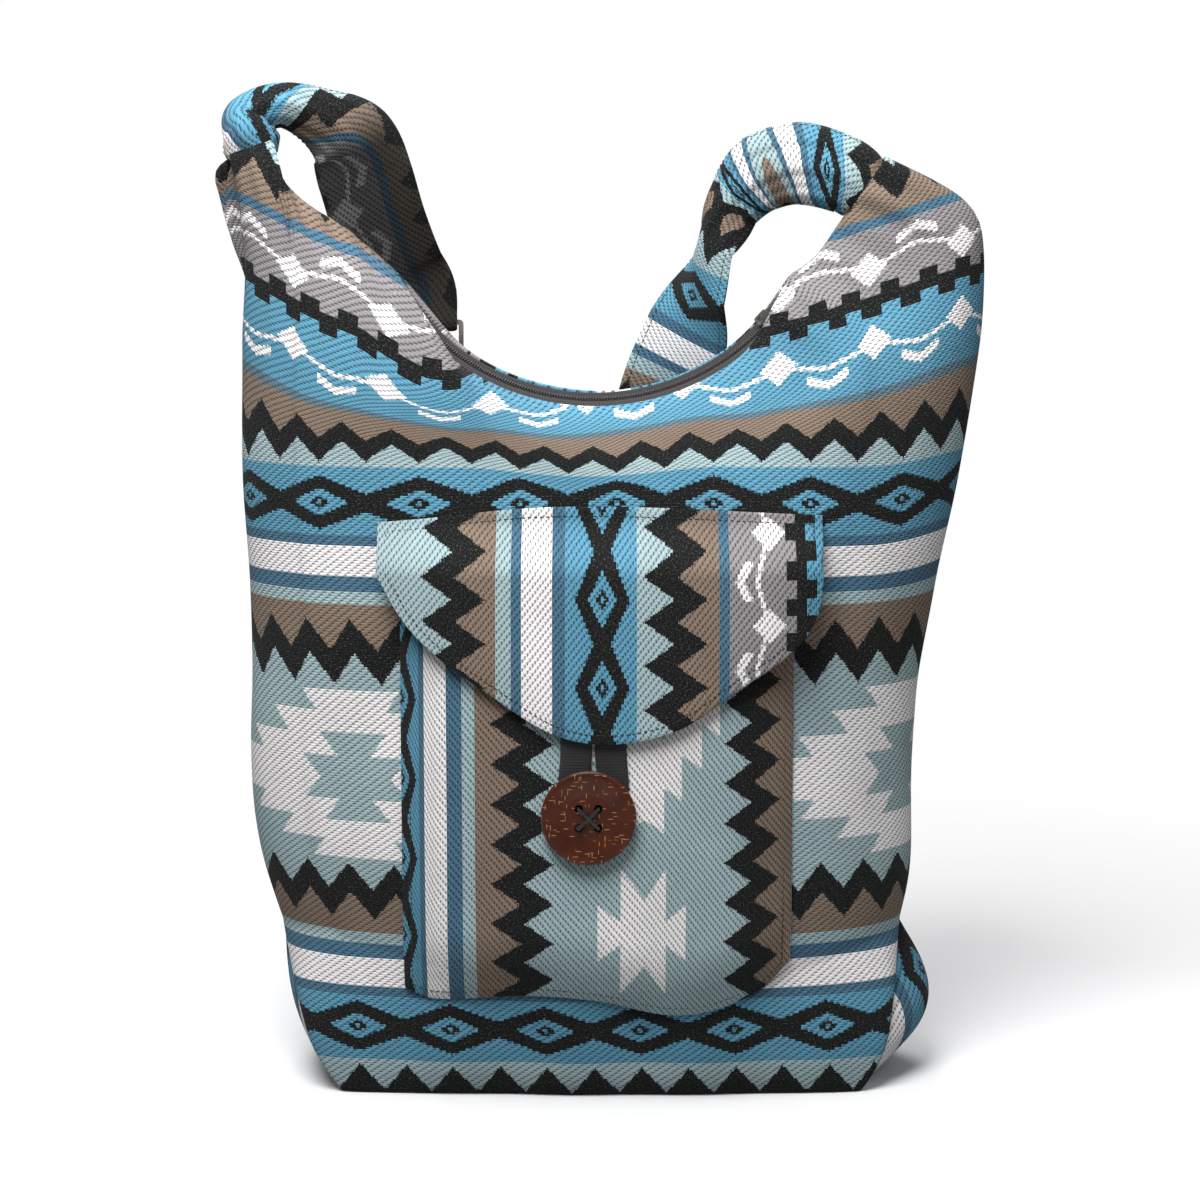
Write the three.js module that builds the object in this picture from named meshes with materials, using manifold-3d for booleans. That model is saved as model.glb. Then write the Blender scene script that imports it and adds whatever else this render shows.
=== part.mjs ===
// Woven crossbody bag: a soft hobo body with two horns, a zipped curved mouth, a buttoned front pocket
// and one long adjustable shoulder strap. Millimetres, +Z up, the front faces -Y, it stands on its base.
import * as THREE from 'three';
import { mergeVertices } from 'three/addons/utils/BufferGeometryUtils.js';
import Module from 'manifold-3d';

const wasm = await Module();
wasm.setup();

// Body
const FLOOR_LEFT = -140;
const FLOOR_RIGHT = 142;
const FLOOR_HALF_DEPTH = 52;
const SEAM_HALF_DEPTH = 47;
const GUSSET_HEIGHT = 86;
const BELLY_HALF_DEPTH = 68;
const CLOTH = 2.4;
const SEAM_GAP = 0.3;
const LINING = 0.9;
const LINING_EASE = 2.6;
const SECTION_POWER = 2.4;

// Mouth: an arc between the horns, with the zip along it
const MOUTH_X = -3;
const MOUTH_Z = 496.5;
const MOUTH_RADIUS = 126;
const MOUTH_HALF_ANGLE = THREE.MathUtils.degToRad(61);
const MOUTH_HALF_GAP = 9.2;
const FRONT_RIM_DROP = 1.5;
const BACK_RIM_RISE = 5;
const RIM_END_RISE = 6.5;
const HORN_EDGE_HALF_GAP = 3;

// Horns
const HORN_SHARE = 0.1;
const HORN_TIP_HALF_DEPTH = 9;
const HORN_BACK_BULGE = 14;

// Zip
const TAPE = 0.8;
const TAPE_EDGE = 3.3;
const TEETH_HALF_SLOT = 0.7;
const TEETH_WIDTH = 2.4;
const TEETH_HEIGHT = 2.2;
const TEETH_GROOVE = 0.8;
const TEETH_PITCH = 7;
const ZIP_EASE = 0.35;
const SLIDER_ANGLE = THREE.MathUtils.degToRad(48);
const SLIDER_LENGTH = 10;
const SLIDER_PLATE = 1.2;
const SLIDER_FLANGE = 0.6;
const SLIDER_POST_LENGTH = 3;
const BAIL_LENGTH = 8;
const BAIL_HEIGHT = 3.4;
const BAIL_WIRE = 1.3;
const BAIL_WIDTH = 1.6;
const PULL_LENGTH = 15;
const PULL_WIDTH = 5;
const PULL_THICKNESS = 1.2;
const PULL_TILT = THREE.MathUtils.degToRad(4);

// Pocket and flap on the front panel
const LAYER_GAP = 0.35;
const POCKET_LEFT = -104;
const POCKET_RIGHT = 101;
const POCKET_TOP = 284;
const POCKET_RISE = 13;
const POCKET_PLEAT = 40;
const POCKET_CLOTH = 1.6;
const POCKET_EASE = 0.6;
const FLAP_CLOTH = 1.8;
const FLAP_LINING = 0.8;
const FLAP_HALF_WIDTH = 116;
const LOOP_TAPE = 1.2;
const LOOP_STRAND = 16.5;
const LOOP_SLIT = 4;
const LOOP_X = -3.4;
const LOOP_TOP = 216;
const LOOP_BEND_Z = 156;

// Button
const BUTTON_X = -6;
const BUTTON_Z = 161;
const BUTTON_DIAMETER = 50;
const BUTTON_THICKNESS = 4;
const BUTTON_DISH = 0.9;
const BUTTON_HOLE = 4.5;
const BUTTON_HOLE_SPACING = 10.2;
const THREAD = 1.5;

// Strap and its metal
const STRAP_WIDTH = 52;
const STRAP_CLOTH = 3;
const STRAP_ROLL = THREE.MathUtils.degToRad(300);
const STRAP_BEND = 3.7;
const STRAP_END_GAP = 0.7;
const RING_INNER_WIDTH = 54;
const RING_INNER_HEIGHT = 14;
const WIRE = 2.6;
const RING_X = -106;
const RING_Y = 66;
const RING_Z = 409;
const ADJUSTER_WINDOW = 13;
const ADJUSTER_DROP = 62;

// Colours of the real cloth and trim
const INK_BLUE = 0x4ba0c8;
const PALE_TEAL = 0xa5bec0;
const BLACK_CLOTH = 0x1e2320;
const ZIP_GREY = 0x4a4846;
const COCONUT = 0x5a2c1a;
const STEEL_GREY = 0xb4b4b0;

const bag = new THREE.Group();
const lerp = THREE.MathUtils.lerp;
const smooth = THREE.MathUtils.smoothstep;
const clamp = THREE.MathUtils.clamp;

function addNode(name, geometry, color, roughness, metalness = 0) {
  const material = new THREE.MeshStandardMaterial({ color, roughness, metalness });
  const mesh = new THREE.Mesh(geometry, material);
  mesh.name = name;
  bag.add(mesh);
  return mesh;
}

// Smooth curve through [parameter, value] pairs
function profile(pairs) {
  return (t) => {
    let k = 0;
    while (k < pairs.length - 2 && t > pairs[k + 1][0]) k += 1;
    const before = pairs[Math.max(k - 1, 0)];
    const a = pairs[k];
    const b = pairs[k + 1];
    const after = pairs[Math.min(k + 2, pairs.length - 1)];
    const span = b[0] - a[0];
    const slopeA = k === 0 ? (b[1] - a[1]) / span : (b[1] - before[1]) / (b[0] - before[0]);
    const slopeB = k === pairs.length - 2 ? (b[1] - a[1]) / span : (after[1] - a[1]) / (after[0] - a[0]);
    const s = clamp((t - a[0]) / span, 0, 1);
    const s2 = s * s;
    const s3 = s2 * s;
    return a[1] * (2 * s3 - 3 * s2 + 1) + slopeA * span * (s3 - 2 * s2 + s)
      + b[1] * (3 * s2 - 2 * s3) + slopeB * span * (s3 - s2);
  };
}

// Closed body from points and triangles, turned so that its faces point out
function closedBody(points, triangles) {
  let volume = 0;
  const a = new THREE.Vector3();
  for (const [i, j, k] of triangles) {
    a.copy(points[j]).cross(points[k]);
    volume += points[i].dot(a);
  }
  const index = volume < 0 ? triangles.map(([i, j, k]) => [i, k, j]) : triangles;
  const geometry = new THREE.BufferGeometry();
  geometry.setAttribute('position', new THREE.Float32BufferAttribute(points.flatMap((p) => [p.x, p.y, p.z]), 3));
  geometry.setIndex(index.flat());
  geometry.computeVertexNormals();
  return geometry;
}

// Solid sheet over a surface: it fills from the offset `near` to `far` along the surface's normal
function sheet(surface, columns, rows, near, far, step = 1e-3) {
  const points = [];
  const normalAt = (u, v) => {
    const du = surface(Math.min(u + step, 1), v).sub(surface(Math.max(u - step, 0), v));
    const dv = surface(u, Math.min(v + step, 1)).sub(surface(u, Math.max(v - step, 0)));
    return du.cross(dv).normalize();
  };
  for (const offset of [near, far]) {
    for (let j = 0; j <= rows; j += 1) {
      for (let i = 0; i <= columns; i += 1) {
        const u = i / columns;
        const v = j / rows;
        const depth = typeof offset === 'function' ? offset(u, v) : offset;
        points.push(surface(u, v).addScaledVector(normalAt(u, v), depth));
      }
    }
  }
  const layer = (columns + 1) * (rows + 1);
  const at = (i, j, side) => side * layer + j * (columns + 1) + i;
  const triangles = [];
  const quad = (p, q, r, s) => triangles.push([p, q, r], [p, r, s]);
  for (let j = 0; j < rows; j += 1) {
    for (let i = 0; i < columns; i += 1) {
      quad(at(i, j, 0), at(i, j + 1, 0), at(i + 1, j + 1, 0), at(i + 1, j, 0));
      quad(at(i, j, 1), at(i + 1, j, 1), at(i + 1, j + 1, 1), at(i, j + 1, 1));
    }
  }
  for (let i = 0; i < columns; i += 1) {
    quad(at(i, 0, 0), at(i + 1, 0, 0), at(i + 1, 0, 1), at(i, 0, 1));
    quad(at(i, rows, 0), at(i, rows, 1), at(i + 1, rows, 1), at(i + 1, rows, 0));
  }
  for (let j = 0; j < rows; j += 1) {
    quad(at(0, j, 0), at(0, j, 1), at(0, j + 1, 1), at(0, j + 1, 0));
    quad(at(columns, j, 0), at(columns, j + 1, 0), at(columns, j + 1, 1), at(columns, j, 1));
  }
  return closedBody(points, triangles);
}

// Joining and cutting of closed solids
function toSolid(geometry) {
  const bare = geometry.clone();
  bare.deleteAttribute('normal');
  bare.deleteAttribute('uv');
  const merged = mergeVertices(bare.index ? bare.toNonIndexed() : bare, 1e-4);
  return new wasm.Manifold(new wasm.Mesh({
    numProp: 3,
    vertProperties: new Float32Array(merged.attributes.position.array),
    triVerts: new Uint32Array(merged.index.array),
  }));
}

function toGeometry(solid) {
  const mesh = solid.getMesh();
  const geometry = new THREE.BufferGeometry();
  geometry.setAttribute('position', new THREE.BufferAttribute(new Float32Array(mesh.vertProperties), 3));
  geometry.setIndex(new THREE.BufferAttribute(new Uint32Array(mesh.triVerts), 1));
  geometry.computeVertexNormals();
  return geometry;
}

// Side seams of the front panel: x and height, from the floor to the outer end of each horn's tip
const leftSeam = new THREE.SplineCurve([
  new THREE.Vector2(FLOOR_LEFT, 0),
  new THREE.Vector2(-157, 26),
  new THREE.Vector2(-172, 76),
  new THREE.Vector2(-187, 128),
  new THREE.Vector2(-191, 180),
  new THREE.Vector2(-188, 262),
  new THREE.Vector2(-191, 330),
  new THREE.Vector2(-190, 400),
  new THREE.Vector2(-190, 455),
  new THREE.Vector2(-197, 502),
]);
const rightSeam = new THREE.SplineCurve([
  new THREE.Vector2(FLOOR_RIGHT, 0),
  new THREE.Vector2(156, 26),
  new THREE.Vector2(164, 78),
  new THREE.Vector2(171, 118),
  new THREE.Vector2(171, 180),
  new THREE.Vector2(177, 262),
  new THREE.Vector2(190, 330),
  new THREE.Vector2(200, 399),
  new THREE.Vector2(205, 450),
  new THREE.Vector2(194, 478),
  new THREE.Vector2(152, 501),
]);
const leftTip = [new THREE.Vector2(-197, 502), new THREE.Vector2(-174, 510)];
const rightTip = [new THREE.Vector2(129, 468), new THREE.Vector2(152, 501)];
const leftInnerEdge = [new THREE.Vector2(-173, 497), new THREE.Vector2(-160, 480), new THREE.Vector2(-133, 461)];
const rightInnerEdge = [new THREE.Vector2(115, 448)];

// The mouth's rim at an angle from straight down; side is -1 on the front panel and 1 on the back
function rimPoint(side, angle) {
  const ends = smooth(Math.abs(angle), 0.6 * MOUTH_HALF_ANGLE, 0.92 * MOUTH_HALF_ANGLE);
  const middle = side < 0 ? FRONT_RIM_DROP : -BACK_RIM_RISE;
  const radius = MOUTH_RADIUS + lerp(middle, -RIM_END_RISE, ends);
  return new THREE.Vector2(MOUTH_X + radius * Math.sin(angle), MOUTH_Z - radius * Math.cos(angle));
}

function rimHalfGap(angle) {
  const closing = smooth(Math.abs(angle), 0.93 * MOUTH_HALF_ANGLE, MOUTH_HALF_ANGLE);
  return lerp(MOUTH_HALF_GAP, HORN_EDGE_HALF_GAP, closing);
}

// The top edge between the two horn tips, walked by length: left horn, mouth, right horn
function topEdge(side) {
  const left = new THREE.SplineCurve([leftTip[1], ...leftInnerEdge, rimPoint(side, -MOUTH_HALF_ANGLE)]);
  const right = new THREE.SplineCurve([rimPoint(side, MOUTH_HALF_ANGLE), ...rightInnerEdge, rightTip[0]]);
  const arc = 2 * MOUTH_RADIUS * MOUTH_HALF_ANGLE;
  const leftLength = left.getLength();
  const rightLength = right.getLength();
  return (t) => {
    const run = clamp(t, 0, 1) * (leftLength + arc + rightLength);
    if (run < leftLength) return { point: left.getPointAt(run / leftLength), gap: HORN_EDGE_HALF_GAP };
    if (run < leftLength + arc) {
      const angle = ((run - leftLength) / arc * 2 - 1) * MOUTH_HALF_ANGLE;
      return { point: rimPoint(side, angle), gap: rimHalfGap(angle) };
    }
    const rest = clamp((run - leftLength - arc) / rightLength, 0, 1);
    return { point: right.getPointAt(rest), gap: HORN_EDGE_HALF_GAP };
  };
}

const frontTopEdge = topEdge(-1);
const backTopEdge = topEdge(1);

// Half the depth of the closed end of a horn, across its tip
function tipHalfDepth(q) {
  if (q < 0.5) return SEAM_GAP + (HORN_TIP_HALF_DEPTH - SEAM_GAP) * Math.cbrt(1 - (1 - 2 * q) ** 3);
  return lerp(HORN_TIP_HALF_DEPTH, HORN_EDGE_HALF_GAP, smooth(q, 0.5, 1));
}

function topBoundary(side, f) {
  if (f < HORN_SHARE) {
    const q = f / HORN_SHARE;
    return { point: leftTip[0].clone().lerp(leftTip[1], q), gap: tipHalfDepth(q) };
  }
  if (f > 1 - HORN_SHARE) {
    const q = (1 - f) / HORN_SHARE;
    return { point: rightTip[1].clone().lerp(rightTip[0], q), gap: tipHalfDepth(q) };
  }
  const edge = side < 0 ? frontTopEdge : backTopEdge;
  return edge((f - HORN_SHARE) / (1 - 2 * HORN_SHARE));
}

// Half the distance between the front and back seams, which part round the gusset near the floor
function seamHalfDepth(height) {
  if (height >= GUSSET_HEIGHT) return SEAM_GAP;
  return SEAM_GAP + (SEAM_HALF_DEPTH - SEAM_GAP) * (1 - (height / GUSSET_HEIGHT) ** 1.7) ** 0.8;
}

const middleDepth = profile([
  [0, FLOOR_HALF_DEPTH], [0.12, 61], [0.28, BELLY_HALF_DEPTH], [0.5, BELLY_HALF_DEPTH], [0.68, 62],
  [0.82, 46], [0.92, 26], [1, 0],
]);
const sideDepth = profile([
  [0, FLOOR_HALF_DEPTH], [0.12, 60], [0.28, 66], [0.48, 64], [0.62, 52], [0.76, 36], [0.88, 22], [0.96, 12], [1, 0],
]);

// Half the depth of the body at a share f across and v up, from its seam's half depth and its top gap
function bodyHalfDepth(f, v, seam, topGap) {
  const across = Math.abs(2 * f - 1);
  const round = Math.max(1 - across ** SECTION_POWER, 0) ** (1 / SECTION_POWER);
  const depth = lerp(middleDepth(v), sideDepth(v), across ** 4);
  const nearTop = smooth(v, 0.7, 1);
  return seam * (1 - nearTop) + Math.max(depth - seam, 0) * round + topGap * nearTop;
}

// A panel's surface: f runs across from the left seam to the right, v up from the floor
function panelPoint(side, f, v) {
  const left = leftSeam.getPoint(v);
  const right = rightSeam.getPoint(v);
  const top = topBoundary(side, f);
  const corners = [leftSeam.points[0], rightSeam.points[0], leftSeam.points.at(-1), rightSeam.points.at(-1)];
  const blend = (key) => {
    const sides = lerp(left[key], right[key], f);
    const ends = lerp(lerp(corners[0][key], corners[1][key], f), top.point[key], v);
    const twice = lerp(lerp(corners[0][key], corners[1][key], f), lerp(corners[2][key], corners[3][key], f), v);
    return sides + ends - twice;
  };
  const half = bodyHalfDepth(f, v, seamHalfDepth(f < 0.5 ? left.y : right.y), top.gap);
  const bulge = side > 0 ? HORN_BACK_BULGE * Math.sin(Math.PI * clamp(f / 0.12, 0, 1)) : 0;
  const high = smooth(v, 0.76, 0.92) * (1 - smooth(v, 0.94, 1));
  return new THREE.Vector3(blend('x') - bulge * high, side * half, blend('y'));
}

// Columns crowd towards the side seams, where the cloth turns round the body
const shareAcross = (u) => (1 - Math.cos(Math.PI * u)) / 2;

function panel(side) {
  return sheet((u, v) => panelPoint(side, shareAcross(u), v), 26, 20, 0, side * CLOTH);
}

// The lining is a loose sack of two leaves with a seam at each side and one under the bag
function liningLeaf(side) {
  const inset = CLOTH + LINING_EASE;
  const floorShare = 0.1;
  const surface = (u, v) => {
    const f = shareAcross(u);
    const top = lerp(0.88, 0.83, Math.abs(2 * f - 1) ** 2);
    const height = lerp(0.04, top, clamp((v - floorShare) / (1 - floorShare), 0, 1));
    const point = panelPoint(side, lerp(0.03, 0.97, f), height);
    const half = Math.min(Math.abs(point.y), bodyHalfDepth(f, height, SEAM_GAP, MOUTH_HALF_GAP));
    point.y = side * lerp(SEAM_GAP, half, clamp(v / floorShare, 0, 1));
    return point;
  };
  return sheet(surface, 18, 10, side * inset, side * (inset + LINING));
}

addNode('front_panel', panel(-1), INK_BLUE, 0.95);
addNode('back_panel', panel(1), INK_BLUE, 0.95);
addNode('lining_front', liningLeaf(-1), BLACK_CLOTH, 0.9);
addNode('lining_back', liningLeaf(1), BLACK_CLOTH, 0.9);

// The gusset is one long pointed oval: up the left side, under the bag as its base, up the right side
function gusset() {
  const inset = CLOTH + 0.9;
  const tipHeight = GUSSET_HEIGHT - 7;
  const seamShare = (seam, height) => {
    let low = 0;
    let high = 0.5;
    for (let k = 0; k < 24; k += 1) {
      const middle = (low + high) / 2;
      if (seam.getPoint(middle).y < height) low = middle;
      else high = middle;
    }
    return low;
  };
  const sideShare = 0.24;
  const leftBulge = 8;
  const rightBulge = 24;
  const surface = (u, v) => {
    const across = 2 * v - 1;
    if (u < sideShare || u > 1 - sideShare) {
      const left = u < sideShare;
      const up = left ? 1 - u / sideShare : 1 - (1 - u) / sideShare;
      const height = tipHeight * up;
      const seam = left ? leftSeam : rightSeam;
      const edge = seam.getPoint(seamShare(seam, height));
      const half = Math.max(seamHalfDepth(height) - inset, 1);
      const swell = Math.sin(Math.PI * clamp(up, 0, 1) ** 0.85) * (1 - across ** 2);
      const x = edge.x + (left ? -leftBulge : rightBulge) * swell;
      return new THREE.Vector3(x, across * half, height);
    }
    const f = (u - sideShare) / (1 - 2 * sideShare);
    const half = bodyHalfDepth(f, 0, SEAM_HALF_DEPTH, 0) - inset;
    return new THREE.Vector3(lerp(FLOOR_LEFT, FLOOR_RIGHT, f), across * half, 0);
  };
  return sheet(surface, 34, 6, 0, CLOTH);
}
addNode('base_gusset', gusset(), PALE_TEAL, 0.95);

// Depth of the front panel's surface at a place seen from the front
function frontDepth(x, z) {
  let f = (x - leftSeam.points[5].x) / (rightSeam.points[5].x - leftSeam.points[5].x);
  let v = z / 400;
  let point = panelPoint(-1, f, v);
  for (let k = 0; k < 8; k += 1) {
    f = clamp(f + (x - point.x) / 360, 0, 1);
    v = clamp(v + (z - point.z) / 400, 0, 1);
    point = panelPoint(-1, f, v);
  }
  return point.y;
}

const pocketBottom = profile([
  [POCKET_LEFT, 62], [-88, 57], [-40, 60], [0, 57], [36, 49], [60, 51], [86, 62], [POCKET_RIGHT, 77],
]);

// How far the pocket stands off the panel: sewn down at its sides and its bottom, full in the middle
function pocketRise(x, z) {
  const middle = (POCKET_LEFT + POCKET_RIGHT) / 2;
  const across = clamp((x - middle) / (POCKET_RIGHT - middle), -1, 1);
  const up = clamp((z - pocketBottom(x)) / POCKET_PLEAT, 0, 1);
  return POCKET_RISE * (1 - across ** 6) * (1 - (1 - up) ** 2);
}

function pocket() {
  const surface = (u, v) => {
    const x = lerp(POCKET_LEFT, POCKET_RIGHT, shareAcross(u) * 0.6 + u * 0.4);
    const z = lerp(pocketBottom(x), POCKET_TOP, v);
    return new THREE.Vector3(x, frontDepth(x, z) - POCKET_EASE - pocketRise(x, z), z);
  };
  return sheet(surface, 16, 12, 0, POCKET_CLOTH);
}
addNode('pocket_panel', pocket(), PALE_TEAL, 0.95);

const flapTop = profile([[-FLAP_HALF_WIDTH, 312], [-24, 320], [FLAP_HALF_WIDTH, 316]]);
const flapBottom = profile([
  [-FLAP_HALF_WIDTH, 286], [-103, 264], [-88, 248], [-59, 227], [-26, 206], [3, 200], [40, 207],
  [72, 228], [101, 248], [113, 266], [FLAP_HALF_WIDTH, 288],
]);

// Stand-off of the flap's underside: sewn flat along its top edge, lying over the pocket below
function flapOffset(x, z) {
  const down = smooth(POCKET_TOP + 30 - z, 0, 28);
  const sides = 1 - Math.abs(x / (FLAP_HALF_WIDTH + 16)) ** 4;
  return LAYER_GAP + down * (POCKET_EASE + POCKET_CLOTH + LOOP_TAPE + 3 * LAYER_GAP + POCKET_RISE * sides);
}

function flapLayer(extra, thickness, rows) {
  const surface = (u, v) => {
    const x = lerp(-FLAP_HALF_WIDTH, FLAP_HALF_WIDTH, shareAcross(u) * 0.5 + u * 0.5);
    const z = lerp(flapBottom(x), flapTop(x), v);
    return new THREE.Vector3(x, frontDepth(x, z) - flapOffset(x, z) - extra, z);
  };
  return sheet(surface, 18, rows, 0, thickness);
}
addNode('flap_lining', flapLayer(0, FLAP_LINING, 9), BLACK_CLOTH, 0.9);
addNode('pocket_flap', flapLayer(FLAP_LINING + 2 * LAYER_GAP, FLAP_CLOTH, 9), INK_BLUE, 0.95);

// Outer face of the pocket, on which the loop and the button lie
function pocketFace(x, z) {
  return frontDepth(x, z) - POCKET_EASE - pocketRise(x, z) - POCKET_CLOTH;
}

// The loop is one tape: down from the flap, round under the button and up again beside itself
function buttonLoop() {
  const straight = LOOP_TOP - LOOP_BEND_Z;
  const bend = Math.PI * (LOOP_SLIT + LOOP_STRAND) / 2;
  const length = 2 * straight + bend;
  const surface = (u, v) => {
    const radius = LOOP_SLIT / 2 + LOOP_STRAND * v;
    const run = u * length;
    let x = LOOP_X - radius;
    let z = LOOP_TOP - run;
    if (run > straight + bend) {
      x = LOOP_X + radius;
      z = LOOP_BEND_Z + run - straight - bend;
    } else if (run > straight) {
      const angle = (run - straight) / bend * Math.PI;
      x = LOOP_X - radius * Math.cos(angle);
      z = LOOP_BEND_Z - radius * Math.sin(angle);
    }
    return new THREE.Vector3(x, pocketFace(x, z) - LAYER_GAP, z);
  };
  return sheet(surface, 22, 3, 0, -LOOP_TAPE);
}
addNode('button_loop', buttonLoop(), BLACK_CLOTH, 0.8);

// Closed extrusion of an outline with holes, centred on its thickness
function plate(outline, holes, thickness) {
  const shape = new THREE.Shape(outline);
  holes.forEach((hole) => shape.holes.push(new THREE.Path(hole)));
  const geometry = new THREE.ExtrudeGeometry(shape, { depth: thickness, bevelEnabled: false });
  geometry.translate(0, 0, -thickness / 2);
  return geometry;
}

function roundedRectangle(x0, y0, x1, y1, radius, steps = 3) {
  const points = [];
  const corners = [[x1 - radius, y1 - radius, 0], [x0 + radius, y1 - radius, 1], [x0 + radius, y0 + radius, 2],
    [x1 - radius, y0 + radius, 3]];
  for (const [cx, cy, quarter] of corners) {
    for (let k = 0; k <= steps; k += 1) {
      const angle = (quarter + k / steps) * Math.PI / 2;
      points.push(new THREE.Vector2(cx + radius * Math.cos(angle), cy + radius * Math.sin(angle)));
    }
  }
  return points;
}

// The button lies on the loop, square to the pocket's face; its own +Z points out of the bag
const slope = 2;
const buttonNormal = new THREE.Vector3(
  (pocketFace(BUTTON_X + slope, BUTTON_Z) - pocketFace(BUTTON_X - slope, BUTTON_Z)) / (2 * slope),
  -1,
  (pocketFace(BUTTON_X, BUTTON_Z + slope) - pocketFace(BUTTON_X, BUTTON_Z - slope)) / (2 * slope),
).normalize();
const buttonFoot = new THREE.Vector3(BUTTON_X, pocketFace(BUTTON_X, BUTTON_Z), BUTTON_Z);
const buttonTurn = new THREE.Quaternion().setFromUnitVectors(new THREE.Vector3(0, 0, 1), buttonNormal);
const BUTTON_LIFT = 3 * LAYER_GAP + LOOP_TAPE + 0.7;

function onButton(geometry) {
  geometry.applyQuaternion(buttonTurn);
  geometry.translate(buttonFoot.x, buttonFoot.y, buttonFoot.z);
  return geometry;
}

function cylinderBetween(radius, z0, z1, x = 0, y = 0, segments = 10) {
  const geometry = new THREE.CylinderGeometry(radius, radius, z1 - z0, segments);
  geometry.rotateX(Math.PI / 2);
  geometry.translate(x, y, (z0 + z1) / 2);
  return geometry;
}

const holeSpots = [[-1, -1], [1, -1], [1, 1], [-1, 1]].map(([i, j]) => [
  i * BUTTON_HOLE_SPACING / 2, j * BUTTON_HOLE_SPACING / 2]);

function button() {
  const radius = BUTTON_DIAMETER / 2;
  const top = BUTTON_THICKNESS;
  const outline = [[0, 0], [radius - 1.2, 0], [radius, 1], [radius, top - 1], [radius - 0.9, top],
    [radius - 3, top], [radius * 0.5, top - BUTTON_DISH * 0.8], [0, top - BUTTON_DISH]];
  const disc = new THREE.LatheGeometry(outline.map(([r, h]) => new THREE.Vector2(r, h)), 32);
  disc.rotateX(Math.PI / 2);
  let solid = toSolid(disc);
  for (const [x, y] of holeSpots) {
    solid = solid.subtract(toSolid(cylinderBetween(BUTTON_HOLE / 2, -1, top + 1, x, y, 12)));
  }
  return toGeometry(solid).translate(0, 0, BUTTON_LIFT);
}
addNode('button', onButton(button()), COCONUT, 0.45);

// Sewing thread: a cross over the face, legs through the four holes, a cross behind and the shank
function buttonThread() {
  const over = BUTTON_LIFT + BUTTON_THICKNESS - BUTTON_DISH + LAYER_GAP;
  const under = BUTTON_LIFT - LAYER_GAP;
  const reach = BUTTON_HOLE_SPACING / 2 * Math.SQRT2;
  const bar = (angle, z0, z1) => {
    const geometry = new THREE.BoxGeometry(2 * reach + THREAD, THREAD, z1 - z0);
    geometry.rotateZ(angle);
    geometry.translate(0, 0, (z0 + z1) / 2);
    return toSolid(geometry);
  };
  let solid = bar(Math.PI / 4, over, over + THREAD).add(bar(-Math.PI / 4, over, over + THREAD));
  const shankX = LOOP_X - BUTTON_X - 0.6;
  solid = solid.add(toSolid(cylinderBetween(BUTTON_HOLE / 2 - 0.6, under - 0.1, over + 0.1, ...holeSpots[0], 8)));
  for (const spot of holeSpots) {
    solid = solid.add(toSolid(cylinderBetween(THREAD / 2, under - 0.2, over + 0.2, ...spot, 8)));
  }
  solid = solid.add(bar(Math.PI / 4, under - 0.35, under)).add(bar(-Math.PI / 4, under - 0.35, under));
  return toGeometry(solid.add(toSolid(cylinderBetween(0.8, LAYER_GAP, under, shankX, 0, 8))));
}
addNode('button_thread', onButton(buttonThread()), BLACK_CLOTH, 0.7);

// A place on the zip: an angle along the mouth, across it, and a lift towards the middle of the arc
function zipPoint(angle, y, lift) {
  const radius = MOUTH_RADIUS - lift;
  return new THREE.Vector3(MOUTH_X + radius * Math.sin(angle), y, MOUTH_Z - radius * Math.cos(angle));
}

const ZIP_HALF_ANGLE = 0.88 * MOUTH_HALF_ANGLE;
const SLIDER_HALF_WIDTH = TEETH_HALF_SLOT + TEETH_WIDTH + ZIP_EASE + SLIDER_FLANGE;

function zipTape(side) {
  const flat = SLIDER_HALF_WIDTH + ZIP_EASE;
  const surface = (u, v) => {
    const angle = lerp(-ZIP_HALF_ANGLE, ZIP_HALF_ANGLE, u);
    const w = side < 0 ? 1 - v : v;
    const edge = Math.max(rimHalfGap(angle) - TAPE_EDGE, flat + 0.4);
    const rim = rimPoint(side, angle);
    const rimLift = MOUTH_RADIUS - Math.hypot(rim.x - MOUTH_X, rim.y - MOUTH_Z);
    const y = w < 0.5 ? lerp(TEETH_HALF_SLOT, flat, 2 * w) : lerp(flat, edge, 2 * w - 1);
    return zipPoint(angle, side * y, Math.max(2 * w - 1, 0) * (rimLift - TAPE));
  };
  return sheet(surface, 26, 4, 0, -TAPE);
}

function zipTeeth(side) {
  const count = Math.round(2 * ZIP_HALF_ANGLE * MOUTH_RADIUS / TEETH_PITCH);
  const surface = (u, v) => {
    const y = side < 0 ? lerp(-TEETH_HALF_SLOT - TEETH_WIDTH, -TEETH_HALF_SLOT, v)
      : lerp(TEETH_HALF_SLOT, TEETH_HALF_SLOT + TEETH_WIDTH, v);
    return zipPoint(lerp(-ZIP_HALF_ANGLE, ZIP_HALF_ANGLE, u), y, ZIP_EASE);
  };
  const height = (u) => TEETH_HEIGHT - (Math.round(u * count * 2) % 2 === 0 ? TEETH_GROOVE : 0);
  return sheet(surface, 2 * count, 1, 0, height);
}
addNode('zip_tape_front', zipTape(-1), ZIP_GREY, 0.9);
addNode('zip_tape_back', zipTape(1), ZIP_GREY, 0.9);
addNode('zip_teeth_front', zipTeeth(-1), ZIP_GREY, 0.5);
addNode('zip_teeth_back', zipTeeth(1), ZIP_GREY, 0.5);

// Slider and pull in the slider's own frame: +X along the zip, +Z away from the bag's inside
const chainTop = ZIP_EASE + TEETH_HEIGHT;
const plateTop = chainTop + ZIP_EASE + SLIDER_PLATE;
const bailInner = BAIL_HEIGHT - BAIL_WIRE;
const pullAxis = plateTop + bailInner / 2;

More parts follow.
